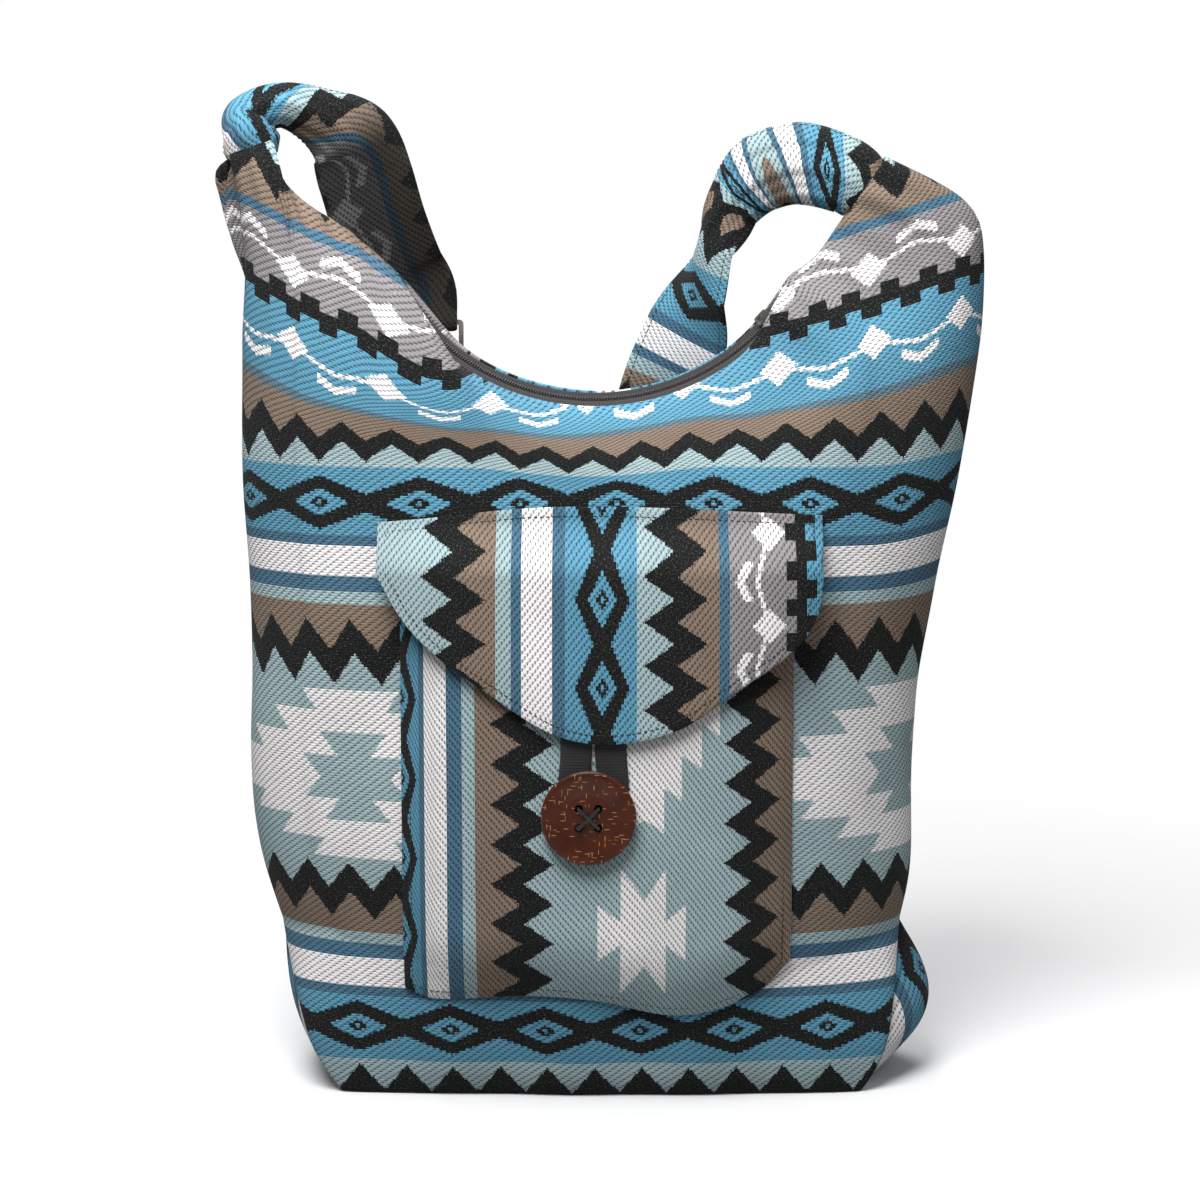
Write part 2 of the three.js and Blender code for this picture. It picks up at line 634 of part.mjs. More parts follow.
function block(x0, x1, y0, y1, z0, z1) {
  const geometry = new THREE.BoxGeometry(x1 - x0, y1 - y0, z1 - z0);
  geometry.translate((x0 + x1) / 2, (y0 + y1) / 2, (z0 + z1) / 2);
  return toSolid(geometry);
}

function slider() {
  const half = SLIDER_LENGTH / 2;
  const under = -TAPE - ZIP_EASE;
  const wing = (z0, z1) => {
    const geometry = plate(roundedRectangle(-half, -SLIDER_HALF_WIDTH, half, SLIDER_HALF_WIDTH, 2.2), [], z1 - z0);
    return toSolid(geometry.translate(0, 0, (z0 + z1) / 2));
  };
  let solid = wing(plateTop - SLIDER_PLATE, plateTop).add(wing(under - SLIDER_PLATE, under));
  const post = TEETH_HALF_SLOT - ZIP_EASE;
  solid = solid.add(block(-SLIDER_POST_LENGTH / 2, SLIDER_POST_LENGTH / 2, -post, post, under - 0.5, plateTop - 0.5));
  for (const side of [-1, 1]) {
    const outer = side * SLIDER_HALF_WIDTH;
    const inner = side * (SLIDER_HALF_WIDTH - SLIDER_FLANGE);
    const reach = half - 2.2;
    solid = solid.add(block(-reach, reach, Math.min(outer, inner), Math.max(outer, inner), ZIP_EASE, plateTop - 0.5));
  }
  const outerArch = roundedRectangle(-BAIL_LENGTH / 2, -1, BAIL_LENGTH / 2, BAIL_HEIGHT, 0.9);
  const innerArch = roundedRectangle(-BAIL_LENGTH / 2 + BAIL_WIRE, 0, BAIL_LENGTH / 2 - BAIL_WIRE, bailInner, 0.5);
  const arch = plate(outerArch, [innerArch.reverse()], BAIL_WIDTH);
  arch.rotateX(Math.PI / 2);
  arch.translate(0, 0, plateTop);
  return toGeometry(solid.add(toSolid(arch)));
}

function pull() {
  const bar = PULL_THICKNESS / 2;
  const windowEnd = Math.hypot(BAIL_LENGTH / 2, BAIL_HEIGHT - bailInner / 2) + 0.5;
  const outline = roundedRectangle(-bar, -PULL_WIDTH / 2, PULL_LENGTH, PULL_WIDTH / 2, 0.55);
  const opening = roundedRectangle(bar, -BAIL_WIDTH / 2 - 0.5, windowEnd, BAIL_WIDTH / 2 + 0.5, 0.3, 1);
  const tab = plate(outline, [opening.reverse()], PULL_THICKNESS);
  tab.rotateY(-PULL_TILT);
  return tab.translate(0, 0, pullAxis);
}

function placeOnZip(mesh, angle) {
  mesh.position.copy(zipPoint(angle, 0, 0));
  mesh.rotation.y = -angle;
}
placeOnZip(addNode('zip_slider', slider(), STEEL_GREY, 0.35, 0.9), SLIDER_ANGLE);
placeOnZip(addNode('zip_pull', pull(), STEEL_GREY, 0.35, 0.9), SLIDER_ANGLE);

// A strap follows stations: [place, face direction, roll, width share, gather]. Where it is rolled, its
// section is an arc of the same developed width, so the cloth narrows without being stretched.
function strap(stations, across, perSpan) {
  const curve = new THREE.CatmullRomCurve3(stations.map(([place]) => new THREE.Vector3(...place)), false, 'centripetal');
  const spans = stations.length - 1;
  const surface = (u, v) => {
    const along = clamp(v, 0, 1) * spans;
    const k = Math.min(Math.floor(along), spans - 1);
    const t = along - k;
    const [, faceA, rollA, shareA = 1, gatherA = 0] = stations[k];
    const [, faceB, rollB, shareB = 1, gatherB = 0] = stations[k + 1];
    const place = curve.getPoint(clamp(v, 0, 1));
    const tangent = curve.getTangent(clamp(v, 0, 1));
    const face = new THREE.Vector3(...faceA).lerp(new THREE.Vector3(...faceB), t);
    const width = new THREE.Vector3().crossVectors(face, tangent).normalize();
    face.crossVectors(tangent, width).normalize();
    const half = STRAP_WIDTH / 2 * lerp(shareA, shareB, t);
    const spread = 2 * u - 1;
    const roll = Math.max(lerp(rollA, rollB, t), 1e-3) * STRAP_ROLL;
    const radius = 2 * half / roll;
    const turn = spread * roll / 2;
    const sag = radius * (Math.sin(roll / 2) / (roll / 2) - Math.cos(turn));
    const ripple = lerp(gatherA, gatherB, t) * Math.cos(3 * Math.PI * spread);
    return place.addScaledVector(width, radius * Math.sin(turn)).addScaledVector(face, ripple - sag);
  };
  return sheet(surface, across, spans * perSpan, -STRAP_CLOTH / 2, STRAP_CLOTH / 2);
}

const FRONT = [0, -1, 0];
const BACK = [0, 1, 0];

function hornEnd(tip, reach) {
  const middle = tip[0].clone().add(tip[1]).multiplyScalar(0.5);
  const line = tip[1].clone().sub(tip[0]).normalize();
  return [middle.x - line.y * reach, 0, middle.y + line.x * reach];
}

// Round a bar that runs across the strap: from in front of it, under or over it, to behind it
function roundBar(z, overTop, fromFront) {
  const way = overTop ? 1 : -1;
  const start = fromFront ? -1 : 1;
  return [0, 1, 2, 3, 4].map((k) => {
    const angle = k / 4 * Math.PI;
    const y = start * Math.cos(angle);
    const up = way * Math.sin(angle);
    return [[RING_X, RING_Y + STRAP_BEND * y, z + STRAP_BEND * up], [0, y, up], 0];
  });
}

const ringLower = RING_Z - RING_INNER_HEIGHT - WIRE;
const adjusterZ = RING_Z - ADJUSTER_DROP;
const sewn = STRAP_CLOTH + LAYER_GAP - STRAP_BEND;

const shortStrap = [
  [hornEnd(leftTip, STRAP_END_GAP), FRONT, 0.62, 0.9],
  [hornEnd(leftTip, 8), FRONT, 0.75, 0.9, 0.4],
  [[-189, 8, 521], FRONT, 0.9, 0.95, 0.7],
  [[-171, 16, 528], FRONT, 0.95, 1, 0.8],
  [[-151, 24, 521], FRONT, 0.7, 1, 0.7],
  [[-135, 30, 509], FRONT, 0.3, 1, 0.4],
  [[-128, 35, 490], FRONT, 0.05, 1],
  [[-121, 43, 464], FRONT, 0, 1],
  [[-112, 54, 438], FRONT, 0, 1],
  [[RING_X, RING_Y - STRAP_BEND - 1, RING_Z + 16], FRONT, 0],
  ...roundBar(RING_Z, false, true),
  [[RING_X, RING_Y + sewn, RING_Z + 9], BACK, 0],
  [[RING_X, RING_Y + sewn - 1, RING_Z + 18], BACK, 0],
];
addNode('strap_short', strap(shortStrap, 8, 2), BLACK_CLOTH, 0.95);

const longStrap = [
  [hornEnd(rightTip, STRAP_END_GAP), FRONT, 0.5, 0.92],
  [hornEnd(rightTip, 10), FRONT, 0.45, 0.95, 0.6],
  [[106, 9, 497], FRONT, 0.4, 1, 0.7],
  [[84, 15, 490], FRONT, 0.45, 1, 0.7],
  [[69, 22, 475], [-0.6, -1, 0], 0.5, 1, 0.4],
  [[60, 28, 455], [-1, -0.2, 0], 0.3, 1],
  [[54, 35, 430], [-1, -0.45, 0], 0.15, 1],
  [[48, 44, 405], [-0.6, -1, 0], 0.05, 1],
  [[37, 57, 370], [-0.1, -1, 0], 0, 1],
  [[25, 72, 320], FRONT, 0],
  [[18, 84, 260], FRONT, 0],
  [[22, 92, 190], [0.4, -1, 0], 0],
  [[30, 96, 135], [1, -0.7, 0], 0],
  [[36, 98, 95], [1, 0, 0], 0],
  [[24, 99, 66], [0.7, 0, -0.7], 0],
  [[-2, 99, 54], [0, 0, -1], 0],
  [[-28, 99, 66], [-0.7, 0, -0.7], 0],
  [[-40, 98, 95], [-1, 0, 0], 0],
  [[-40, 96, 135], [-1, 0.7, 0], 0],
  [[-48, 92, 190], [-0.4, 1, 0], 0],
  [[-74, 82, 250], BACK, 0],
  [[-98, 68, 298], BACK, 0],
  [[RING_X, RING_Y - 5.6, adjusterZ - ADJUSTER_WINDOW - WIRE - 2], BACK, 0],
  [[RING_X, RING_Y + 1.6, adjusterZ - 8.2], BACK, 0],
  [[RING_X, RING_Y + STRAP_BEND + STRAP_CLOTH + 0.6, adjusterZ], BACK, 0],
  [[RING_X, RING_Y + STRAP_BEND + 1.5, adjusterZ + ADJUSTER_WINDOW + WIRE], BACK, 0],
  ...roundBar(ringLower, true, false),
  [[RING_X, RING_Y - STRAP_BEND, (ringLower + adjusterZ) / 2], FRONT, 0],
  ...roundBar(adjusterZ, false, true),
  [[RING_X, RING_Y + sewn, adjusterZ + 9], BACK, 0],
  [[RING_X, RING_Y + sewn, adjusterZ + 12], BACK, 0],
];
addNode('strap_long', strap(longStrap, 5, 2), BLACK_CLOTH, 0.95);

// Flat wire frames: the ring has one window, the adjuster two with a bar between them
function wireFrame(windows, windowHeight) {
  const halfWidth = RING_INNER_WIDTH / 2;
  const height = windows * windowHeight + (windows - 1) * WIRE;
  const outline = roundedRectangle(-halfWidth - WIRE, -height / 2 - WIRE, halfWidth + WIRE, height / 2 + WIRE, 2.4);
  const holes = [];
  for (let k = 0; k < windows; k += 1) {
    const low = -height / 2 + k * (windowHeight + WIRE);
    holes.push(roundedRectangle(-halfWidth, low, halfWidth, low + windowHeight, 0.6, 1).reverse());
  }
  return plate(outline, holes, WIRE).rotateX(Math.PI / 2);
}
const ring = addNode('strap_ring', wireFrame(1, RING_INNER_HEIGHT), STEEL_GREY, 0.25, 1);
ring.position.set(RING_X, RING_Y, (RING_Z + ringLower) / 2);
const adjuster = addNode('strap_adjuster', wireFrame(2, ADJUSTER_WINDOW), STEEL_GREY, 0.25, 1);
adjuster.position.set(RING_X, RING_Y, adjusterZ);

export default bag;
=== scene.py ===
"""Looks of a woven crossbody bag: patterned cloth, stitching, zip, button and strap, over its solid frame."""

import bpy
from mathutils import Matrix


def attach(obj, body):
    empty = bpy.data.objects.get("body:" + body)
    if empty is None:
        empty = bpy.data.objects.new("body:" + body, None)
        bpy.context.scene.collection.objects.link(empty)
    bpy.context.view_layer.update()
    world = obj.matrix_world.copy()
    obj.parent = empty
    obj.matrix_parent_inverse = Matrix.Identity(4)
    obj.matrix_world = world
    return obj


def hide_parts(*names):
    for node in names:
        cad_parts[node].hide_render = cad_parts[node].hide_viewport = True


bl_info = {
    "name": "Woven Crossbody Bag",
    "version": (1, 0, 0),
    "blender": (4, 5, 0),
    "location": "View3D > Sidebar > Woven Bag",
    "description": "Builds the cloth, trim and stage of a woven crossbody bag",
    "category": "Object",
}

from functools import partialmethod

import bpy
import numpy as np
from mathutils import Vector

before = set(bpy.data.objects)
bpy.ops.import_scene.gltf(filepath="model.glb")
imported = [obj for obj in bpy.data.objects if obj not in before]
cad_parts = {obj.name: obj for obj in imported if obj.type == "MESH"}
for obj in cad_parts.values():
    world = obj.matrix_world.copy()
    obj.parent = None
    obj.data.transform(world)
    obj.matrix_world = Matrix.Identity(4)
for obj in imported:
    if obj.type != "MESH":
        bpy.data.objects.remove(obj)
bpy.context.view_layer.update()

MM = 0.001
UV_UNIT = 100.0
FRONT, BACK = (0, -1, 0), (0, 1, 0)

# Body, in millimetres
FLOOR_LEFT, FLOOR_RIGHT = -140.0, 142.0
FLOOR_HALF_DEPTH, SEAM_HALF_DEPTH, GUSSET_HEIGHT, BELLY = 52.0, 47.0, 86.0, 68.0
CLOTH, SEAM_GAP, SECTION_POWER = 2.4, 0.3, 2.4
MOUTH_X, MOUTH_Z, MOUTH_RADIUS, MOUTH_ANGLE = -3.0, 496.5, 126.0, np.radians(61)
MOUTH_GAP, HORN_GAP, HORN_SHARE, TIP_DEPTH, BACK_BULGE = 9.2, 3.0, 0.1, 9.0, 14.0
FRONT_DROP, BACK_RISE, END_RISE = 1.5, 5.0, 6.5
LEFT_SEAM = np.array([(-140, 0), (-157, 26), (-172, 76), (-187, 128), (-191, 180), (-188, 262), (-191, 330),
                      (-190, 400), (-190, 455), (-197, 502)], float)
RIGHT_SEAM = np.array([(142, 0), (156, 26), (164, 78), (171, 118), (171, 180), (177, 262), (190, 330),
                       (200, 399), (205, 450), (194, 478), (152, 501)], float)
LEFT_TIP = np.array([(-197, 502), (-174, 510)], float)
RIGHT_TIP = np.array([(129, 468), (152, 501)], float)
LEFT_INNER = [(-173, 497), (-160, 480), (-133, 461)]
RIGHT_INNER = [(115, 448)]
MIDDLE = [(0, FLOOR_HALF_DEPTH), (0.12, 61), (0.28, BELLY), (0.5, BELLY), (0.68, 62), (0.82, 46), (0.92, 26),
          (1, 0)]
SIDES = [(0, FLOOR_HALF_DEPTH), (0.12, 60), (0.28, 66), (0.48, 64), (0.62, 52), (0.76, 36), (0.88, 22),
         (0.96, 12), (1, 0)]

# Pocket, flap and loop
LAYER_GAP = 0.35
POCKET_LEFT, POCKET_RIGHT, POCKET_TOP = -104.0, 101.0, 284.0
POCKET_RISE, POCKET_PLEAT, POCKET_CLOTH, POCKET_EASE = 13.0, 40.0, 1.6, 0.6
POCKET_BOTTOM = [(-104, 62), (-88, 57), (-40, 60), (0, 57), (36, 49), (60, 51), (86, 62), (101, 77)]
FLAP_HALF_WIDTH, FLAP_CLOTH, FLAP_LINING = 116.0, 1.8, 0.8
FLAP_TOP = [(-116, 312), (-24, 320), (116, 316)]
FLAP_BOTTOM = [(-116, 286), (-103, 264), (-88, 248), (-59, 227), (-26, 206), (3, 200), (40, 207), (72, 228),
               (101, 248), (113, 266), (116, 288)]
LOOP_TAPE, LOOP_STRAND, LOOP_SLIT, LOOP_X, LOOP_TOP, LOOP_BEND_Z = 1.2, 16.5, 4.0, -3.4, 216.0, 156.0

# Zip
TAPE, TAPE_EDGE, TEETH_SLOT, TEETH_WIDTH, TEETH_HEIGHT = 0.8, 3.3, 0.7, 2.4, 2.2
ZIP_EASE, SLIDER_FLANGE = 0.35, 0.6
ZIP_ANGLE = 0.88 * MOUTH_ANGLE

# Strap
STRAP_WIDTH, STRAP_CLOTH, STRAP_BEND = 52.0, 3.0, 3.7
STRAP_ROLL = np.radians(300)
RING_HEIGHT, WIRE = 14.0, 2.6
RING_X, RING_Y, RING_Z = -106.0, 66.0, 409.0
ADJUSTER_WINDOW, ADJUSTER_DROP = 13.0, 62.0

# Cloth pattern: height above the field's centre where each colour starts, and the colour
BANDS = [(0, "teal"), (64, "taupe"), (87.5, "teal"), (95.5, "steel"), (101.7, "white"), (117.7, "steel"),
         (123.5, "blue"), (159.5, "teal"), (179.5, "taupe"), (204, "slate"), (209.5, "blue"), (256, "grey"),
         (292, "steel"), (298, "taupe"), (321, "teal"), (341, "blue"), (377, "steel"), (383, "white"),
         (399, "steel"), (405, "teal"), (414, "taupe"), (436, "teal")]
REPEAT = 1000.0
ZIGZAGS, ZIGZAG_HALF, ZIGZAG_RISE = (64.0, 179.5, 321.0, 436.0), 8.7, 7.8
CHAINS, BATTLEMENT, BLUE_LINE, GREY_LINE = (141.5, 359.0), 256.0, 232.0, 276.0
LINK_RISE, LINK_REACH = 9.6, 14.2
DIAMONDS = ((14.4, 7.3, "blue"), (5.2, 3.4, "black"), (1.9, 1.4, "blue"))
WALLS_PER_PERIOD, WALL_STEP, WALL_HALF = 2.5, 5, 4.9
KITE_DELAY, KITE_WIDE, KITE_HIGH, KITE_LIFT, LINE_SWING, LINE_HALF = 0.19, 8.8, 9, 3.5, 3.2, 1.1
BIRD_DROP, BIRD_SLOPE, BIRD_HALF, BIRD_REACH = 12, 0.5, 2.4, 9.5
STAR_HIGH, STEP_HIGH, STEP_WIDE, STEP_SLANT, STAR_WAIST = 45, 11.25, 18, 7.5, 25
FIELD_HEIGHT, STAR_SHIFT = 160.0, -6.0
RIM_RISE, BAND_DROP, BAND_SCALE, BAND_START = (46, 32), 19.5, 0.897, 11.5
HORN_RISE = [(-200, -6), (-187, -2), (-149, 17), (-125, 27), (-112, 36), (-87, 48), (-50, 44), (0, 35),
             (49, 35), (86, 28), (123, 17), (150, 9), (200, 0)]


def lerp(a, b, t):
    return a + (b - a) * t


def smooth(x, a, b):
    t = np.clip((x - a) / (b - a), 0, 1)
    return t * t * (3 - 2 * t)


def unit(v):
    return v / np.linalg.norm(v, axis=-1, keepdims=True)


def run_length(p):
    """Length along a path up to each of its points."""
    return np.concatenate([[0], np.cumsum(np.linalg.norm(np.diff(p, axis=0), axis=1))])


def spline(points, t):
    """Uniform cubic through the points: Hermite spans with slopes (next - previous) / 2."""
    p = np.asarray(points, float)
    s = np.clip(t, 0, 1) * (len(p) - 1)
    k = np.minimum(s.astype(int), len(p) - 2)
    w = (s - k)[..., None]
    p0, p1 = p[np.maximum(k - 1, 0)], p[k]
    p2, p3 = p[k + 1], p[np.minimum(k + 2, len(p) - 1)]
    a, b = (p2 - p0) / 2, (p3 - p1) / 2
    return (2 * p1 - 2 * p2 + a + b) * w**3 + (-3 * p1 + 3 * p2 - 2 * a - b) * w**2 + a * w + p1


def profile(pairs, t):
    """Smooth curve through (parameter, value) pairs: Hermite spans with central slopes."""
    x, y = np.array(pairs, float).T
    m = np.empty_like(y)
    m[1:-1] = (y[2:] - y[:-2]) / (x[2:] - x[:-2])
    m[0], m[-1] = (y[1] - y[0]) / (x[1] - x[0]), (y[-1] - y[-2]) / (x[-1] - x[-2])
    k = np.clip(np.searchsorted(x, t, side="left") - 1, 0, len(x) - 2)
    h = x[k + 1] - x[k]
    s = np.clip((t - x[k]) / h, 0, 1)
    return (y[k] * (2 * s**3 - 3 * s**2 + 1) + m[k] * h * (s**3 - 2 * s**2 + s)
            + y[k + 1] * (3 * s**2 - 2 * s**3) + m[k + 1] * h * (s**3 - s**2))


def rim_point(side, angle):
    """The mouth's rim: a circle whose radius grows or shrinks a little along its angle from straight down."""
    ends = smooth(np.abs(angle), 0.6 * MOUTH_ANGLE, 0.92 * MOUTH_ANGLE)
    radius = MOUTH_RADIUS + lerp(FRONT_DROP if side < 0 else -BACK_RISE, -END_RISE, ends)
    return np.stack([MOUTH_X + radius * np.sin(angle), MOUTH_Z - radius * np.cos(angle)], -1)


def rim_gap(angle):
    return lerp(MOUTH_GAP, HORN_GAP, smooth(np.abs(angle), 0.93 * MOUTH_ANGLE, MOUTH_ANGLE))


def top_edge(side):
    """The top edge between the horn tips as a table: share of its length, x, z and half gap."""
    ends = rim_point(side, np.array([-MOUTH_ANGLE, MOUTH_ANGLE]))
    left = spline([LEFT_TIP[1], *LEFT_INNER, ends[0]], np.linspace(0, 1, 300))
    right = spline([ends[1], *RIGHT_INNER, RIGHT_TIP[0]], np.linspace(0, 1, 300))
    angle = np.linspace(-MOUTH_ANGLE, MOUTH_ANGLE, 400)
    arc = 2 * MOUTH_RADIUS * MOUTH_ANGLE
    a, b = run_length(left), run_length(right)
    share = np.concatenate([a, a[-1] + np.linspace(0, arc, 400), a[-1] + arc + b]) / (a[-1] + arc + b[-1])
    place = np.concatenate([left, rim_point(side, angle), right])
    gap = np.concatenate([np.full(300, HORN_GAP), rim_gap(angle), np.full(300, HORN_GAP)])
    return share + np.arange(1000) * 1e-9, place[:, 0], place[:, 1], gap


EDGES = {-1: top_edge(-1), 1: top_edge(1)}


def tip_depth(q):
    near = SEAM_GAP + (TIP_DEPTH - SEAM_GAP) * np.cbrt(1 - (1 - 2 * q) ** 3)
    return np.where(q < 0.5, near, lerp(TIP_DEPTH, HORN_GAP, smooth(q, 0.5, 1)))


def top_boundary(side, f):
    """Place and half gap of a panel's top at a share f across: horn tips at both ends, the edge between."""
    share, x, z, gap = EDGES[side]
    t = (f - HORN_SHARE) / (1 - 2 * HORN_SHARE)
    px, pz, pg = np.interp(t, share, x), np.interp(t, share, z), np.interp(t, share, gap)
    for near, tip in ((f / HORN_SHARE, LEFT_TIP), ((1 - f) / HORN_SHARE, RIGHT_TIP[::-1])):
        q = np.clip(near, 0, 1)
        px = np.where(near < 1, lerp(tip[0][0], tip[1][0], q), px)
        pz = np.where(near < 1, lerp(tip[0][1], tip[1][1], q), pz)
        pg = np.where(near < 1, tip_depth(q), pg)
    return px, pz, pg


def seam_depth(height):
    low = SEAM_GAP + (SEAM_HALF_DEPTH - SEAM_GAP) * (1 - np.clip(height / GUSSET_HEIGHT, 0, 1) ** 1.7) ** 0.8
    return np.where(height >= GUSSET_HEIGHT, SEAM_GAP, low)


def body_depth(f, v, seam, gap):
    """Half depth: a superellipse across, its middle depth a profile of the share up, closing at the top."""
    across = np.abs(2 * f - 1)
    full = np.maximum(1 - across**SECTION_POWER, 0) ** (1 / SECTION_POWER)
    depth = lerp(profile(MIDDLE, v), profile(SIDES, v), across**4)
    near_top = smooth(v, 0.7, 1)
    return seam * (1 - near_top) + np.maximum(depth - seam, 0) * full + gap * near_top


def panel_point(side, f, v):
    """Coons patch between the two seams, the floor and the top edge; the depth comes from body_depth."""
    left, right = spline(LEFT_SEAM, v), spline(RIGHT_SEAM, v)
    tx, tz, gap = top_boundary(side, f)

    def patch(k, top):
        floor = lerp(LEFT_SEAM[0, k], RIGHT_SEAM[0, k], f)
        twice = lerp(floor, lerp(LEFT_SEAM[-1, k], RIGHT_SEAM[-1, k], f), v)
        return lerp(left[..., k], right[..., k], f) + lerp(floor, top, v) - twice

    seam = seam_depth(np.where(f < 0.5, left[..., 1], right[..., 1]))
    half = body_depth(f, v, seam, gap)
    bulge = BACK_BULGE * np.sin(np.pi * np.clip(f / 0.12, 0, 1)) if side > 0 else 0
    high = smooth(v, 0.76, 0.92) * (1 - smooth(v, 0.94, 1))
    return np.stack([patch(0, tx) - bulge * high, side * half, patch(1, tz)], -1)


def share_across(u):
    return (1 - np.cos(np.pi * u)) / 2


def shares(columns, rows):
    """Two grids of shares from 0 to 1: along the columns and along the rows."""
    return np.meshgrid(np.linspace(0, 1, columns), np.linspace(0, 1, rows))


def creases(x, z):
    """Soft slumps of the stuffed cloth, in millimetres outwards, as a sum of slow slanting waves."""
    slow = 1.1 * np.sin(x / 31 + z / 58) * np.sin(z / 43 + 1.3) + 0.7 * np.sin(x / 17 - z / 36 + 0.6)
    low = 1.0 * np.exp(-((z - 30) / 34) ** 2) * np.sin(x / 11 + 0.5 * np.sin(z / 15))
    return slow * smooth(z, 20, 90) * (1 - smooth(z, 330, 430)) + low


def gathers(f, v):
    """Pleats that run into the pinched tips of the horns, in millimetres outwards."""
    left = 1.6 * np.sin(2 * np.pi * 7 * f / 0.3) * smooth(0.3 - f, 0, 0.12)
    right = 1.8 * np.sin(2 * np.pi * 7 * (1 - f) / 0.3) * smooth(f, 0.7, 0.82)
    return (left + right) * smooth(v, 0.84, 0.985)


def front_depth(x, z):
    """Depth of the front panel at a place seen from the front, by stepping to it along the panel."""
    f = (x + 188) / 365
    v = z / 400
    for _ in range(9):
        p = panel_point(-1, np.clip(f, 0, 1), np.clip(v, 0, 1))
        f = np.clip(f + (x - p[..., 0]) / 360, 0, 1)
        v = np.clip(v + (z - p[..., 2]) / 400, 0, 1)
    return panel_point(-1, f, v)[..., 1]


def unit_normals(grid):
    """Normals of a grid of points: the cross product of its two differences."""
    du, dv = np.gradient(grid, axis=1), np.gradient(grid, axis=0)
    n = np.cross(du, dv)
    return n / np.maximum(np.linalg.norm(n, axis=-1, keepdims=True), 1e-12)


def run_across(grid):
    """Level length along each row of a grid, from x = 0."""
    step = np.linalg.norm(np.diff(grid[..., :2], axis=1), axis=2)
    run = np.concatenate([np.zeros((grid.shape[0], 1)), np.cumsum(step, axis=1)], 1)
    middle = np.abs(grid[..., 0]).argmin(axis=1)[:, None]
    return run - np.take_along_axis(run, middle, 1) + np.take_along_axis(grid[..., 0], middle, 1)


def make_mesh(name, points, quads, uv=None, crisp=40):
    """A mesh in metres from points in millimetres; its faces are turned out by the sign of its volume."""
    quads = np.asarray(quads)
    p = points[quads]
    volume = (p[:, 0] * np.cross(p[:, 1], p[:, 2]) + p[:, 0] * np.cross(p[:, 2], p[:, -1])).sum()
    if volume < 0:
        quads = quads[:, ::-1]
    mesh = bpy.data.meshes.new(name)
    mesh.vertices.add(len(points))
    mesh.vertices.foreach_set("co", (points * MM).astype(np.float32).ravel())
    sides = quads.shape[1]
    mesh.loops.add(quads.size)
    mesh.loops.foreach_set("vertex_index", quads.astype(np.int32).ravel())
    mesh.polygons.add(len(quads))
    mesh.polygons.foreach_set("loop_start", np.arange(0, quads.size, sides, dtype=np.int32))
    mesh.update(calc_edges=True)
    mesh.polygons.foreach_set("use_smooth", np.ones(len(quads), bool))
    if uv is not None:
        layer = mesh.uv_layers.new(name="cloth")
        layer.data.foreach_set("uv", (uv[quads.ravel()] / UV_UNIT).astype(np.float32).ravel())
    mesh.set_sharp_from_angle(angle=np.radians(crisp))
    mesh.validate()
    obj = bpy.data.objects.new(name, mesh)
    bpy.context.scene.collection.objects.link(obj)
    return obj


def make_sheet(name, grid, near, far, uv, edge=0.0):
    """Closed cloth filled from near to far along a grid's normals; edge rounds its rim by that share."""
    rows, columns = grid.shape[:2]
    normal = unit_normals(grid)
    middle, half = (near + far) / 2, (far - near) / 2
    if edge:
        i = np.minimum(np.arange(columns), np.arange(columns)[::-1])
        j = np.minimum(np.arange(rows), np.arange(rows)[::-1])
        rim = np.minimum(np.minimum(i[None, :], j[:, None]) / 2, 1.0)
        half = half * (1 - edge * (1 - np.sqrt(1 - (1 - rim) ** 2)))
    half = np.broadcast_to(half, (rows, columns))[..., None]
    middle = np.broadcast_to(middle, (rows, columns))[..., None]
    layers = [grid + normal * (middle - half), grid + normal * (middle + half)]
    points = np.concatenate([layer.reshape(-1, 3) for layer in layers])
    index = np.arange(rows * columns).reshape(rows, columns)
    top = index + rows * columns

    def quads(a):
        return np.stack([a[:-1, :-1], a[:-1, 1:], a[1:, 1:], a[1:, :-1]], -1).reshape(-1, 4)

    faces = [quads(index)[:, ::-1], quads(top)]
    for a, b in ((index[0], top[0]), (index[-1][::-1], top[-1][::-1]), (index[:, 0][::-1], top[:, 0][::-1]),
                 (index[:, -1], top[:, -1])):
        faces.append(np.stack([a[:-1], a[1:], b[1:], b[:-1]], -1))
    flat = uv.reshape(-1, 2)
    return make_mesh(name, points, np.concatenate(faces), np.concatenate([flat, flat]))


def polyline(points, pitch):
    """Points at equal steps of about pitch along a path, and the unit directions there."""
    p = np.asarray(points, float)
    run = run_length(p)
    count = max(int(run[-1] / pitch), 2)
    at = np.linspace(0, run[-1], count + 1)
    placed = np.stack([np.interp(at, run, p[:, k]) for k in range(3)], -1)
    return placed, unit(np.gradient(placed, axis=0))


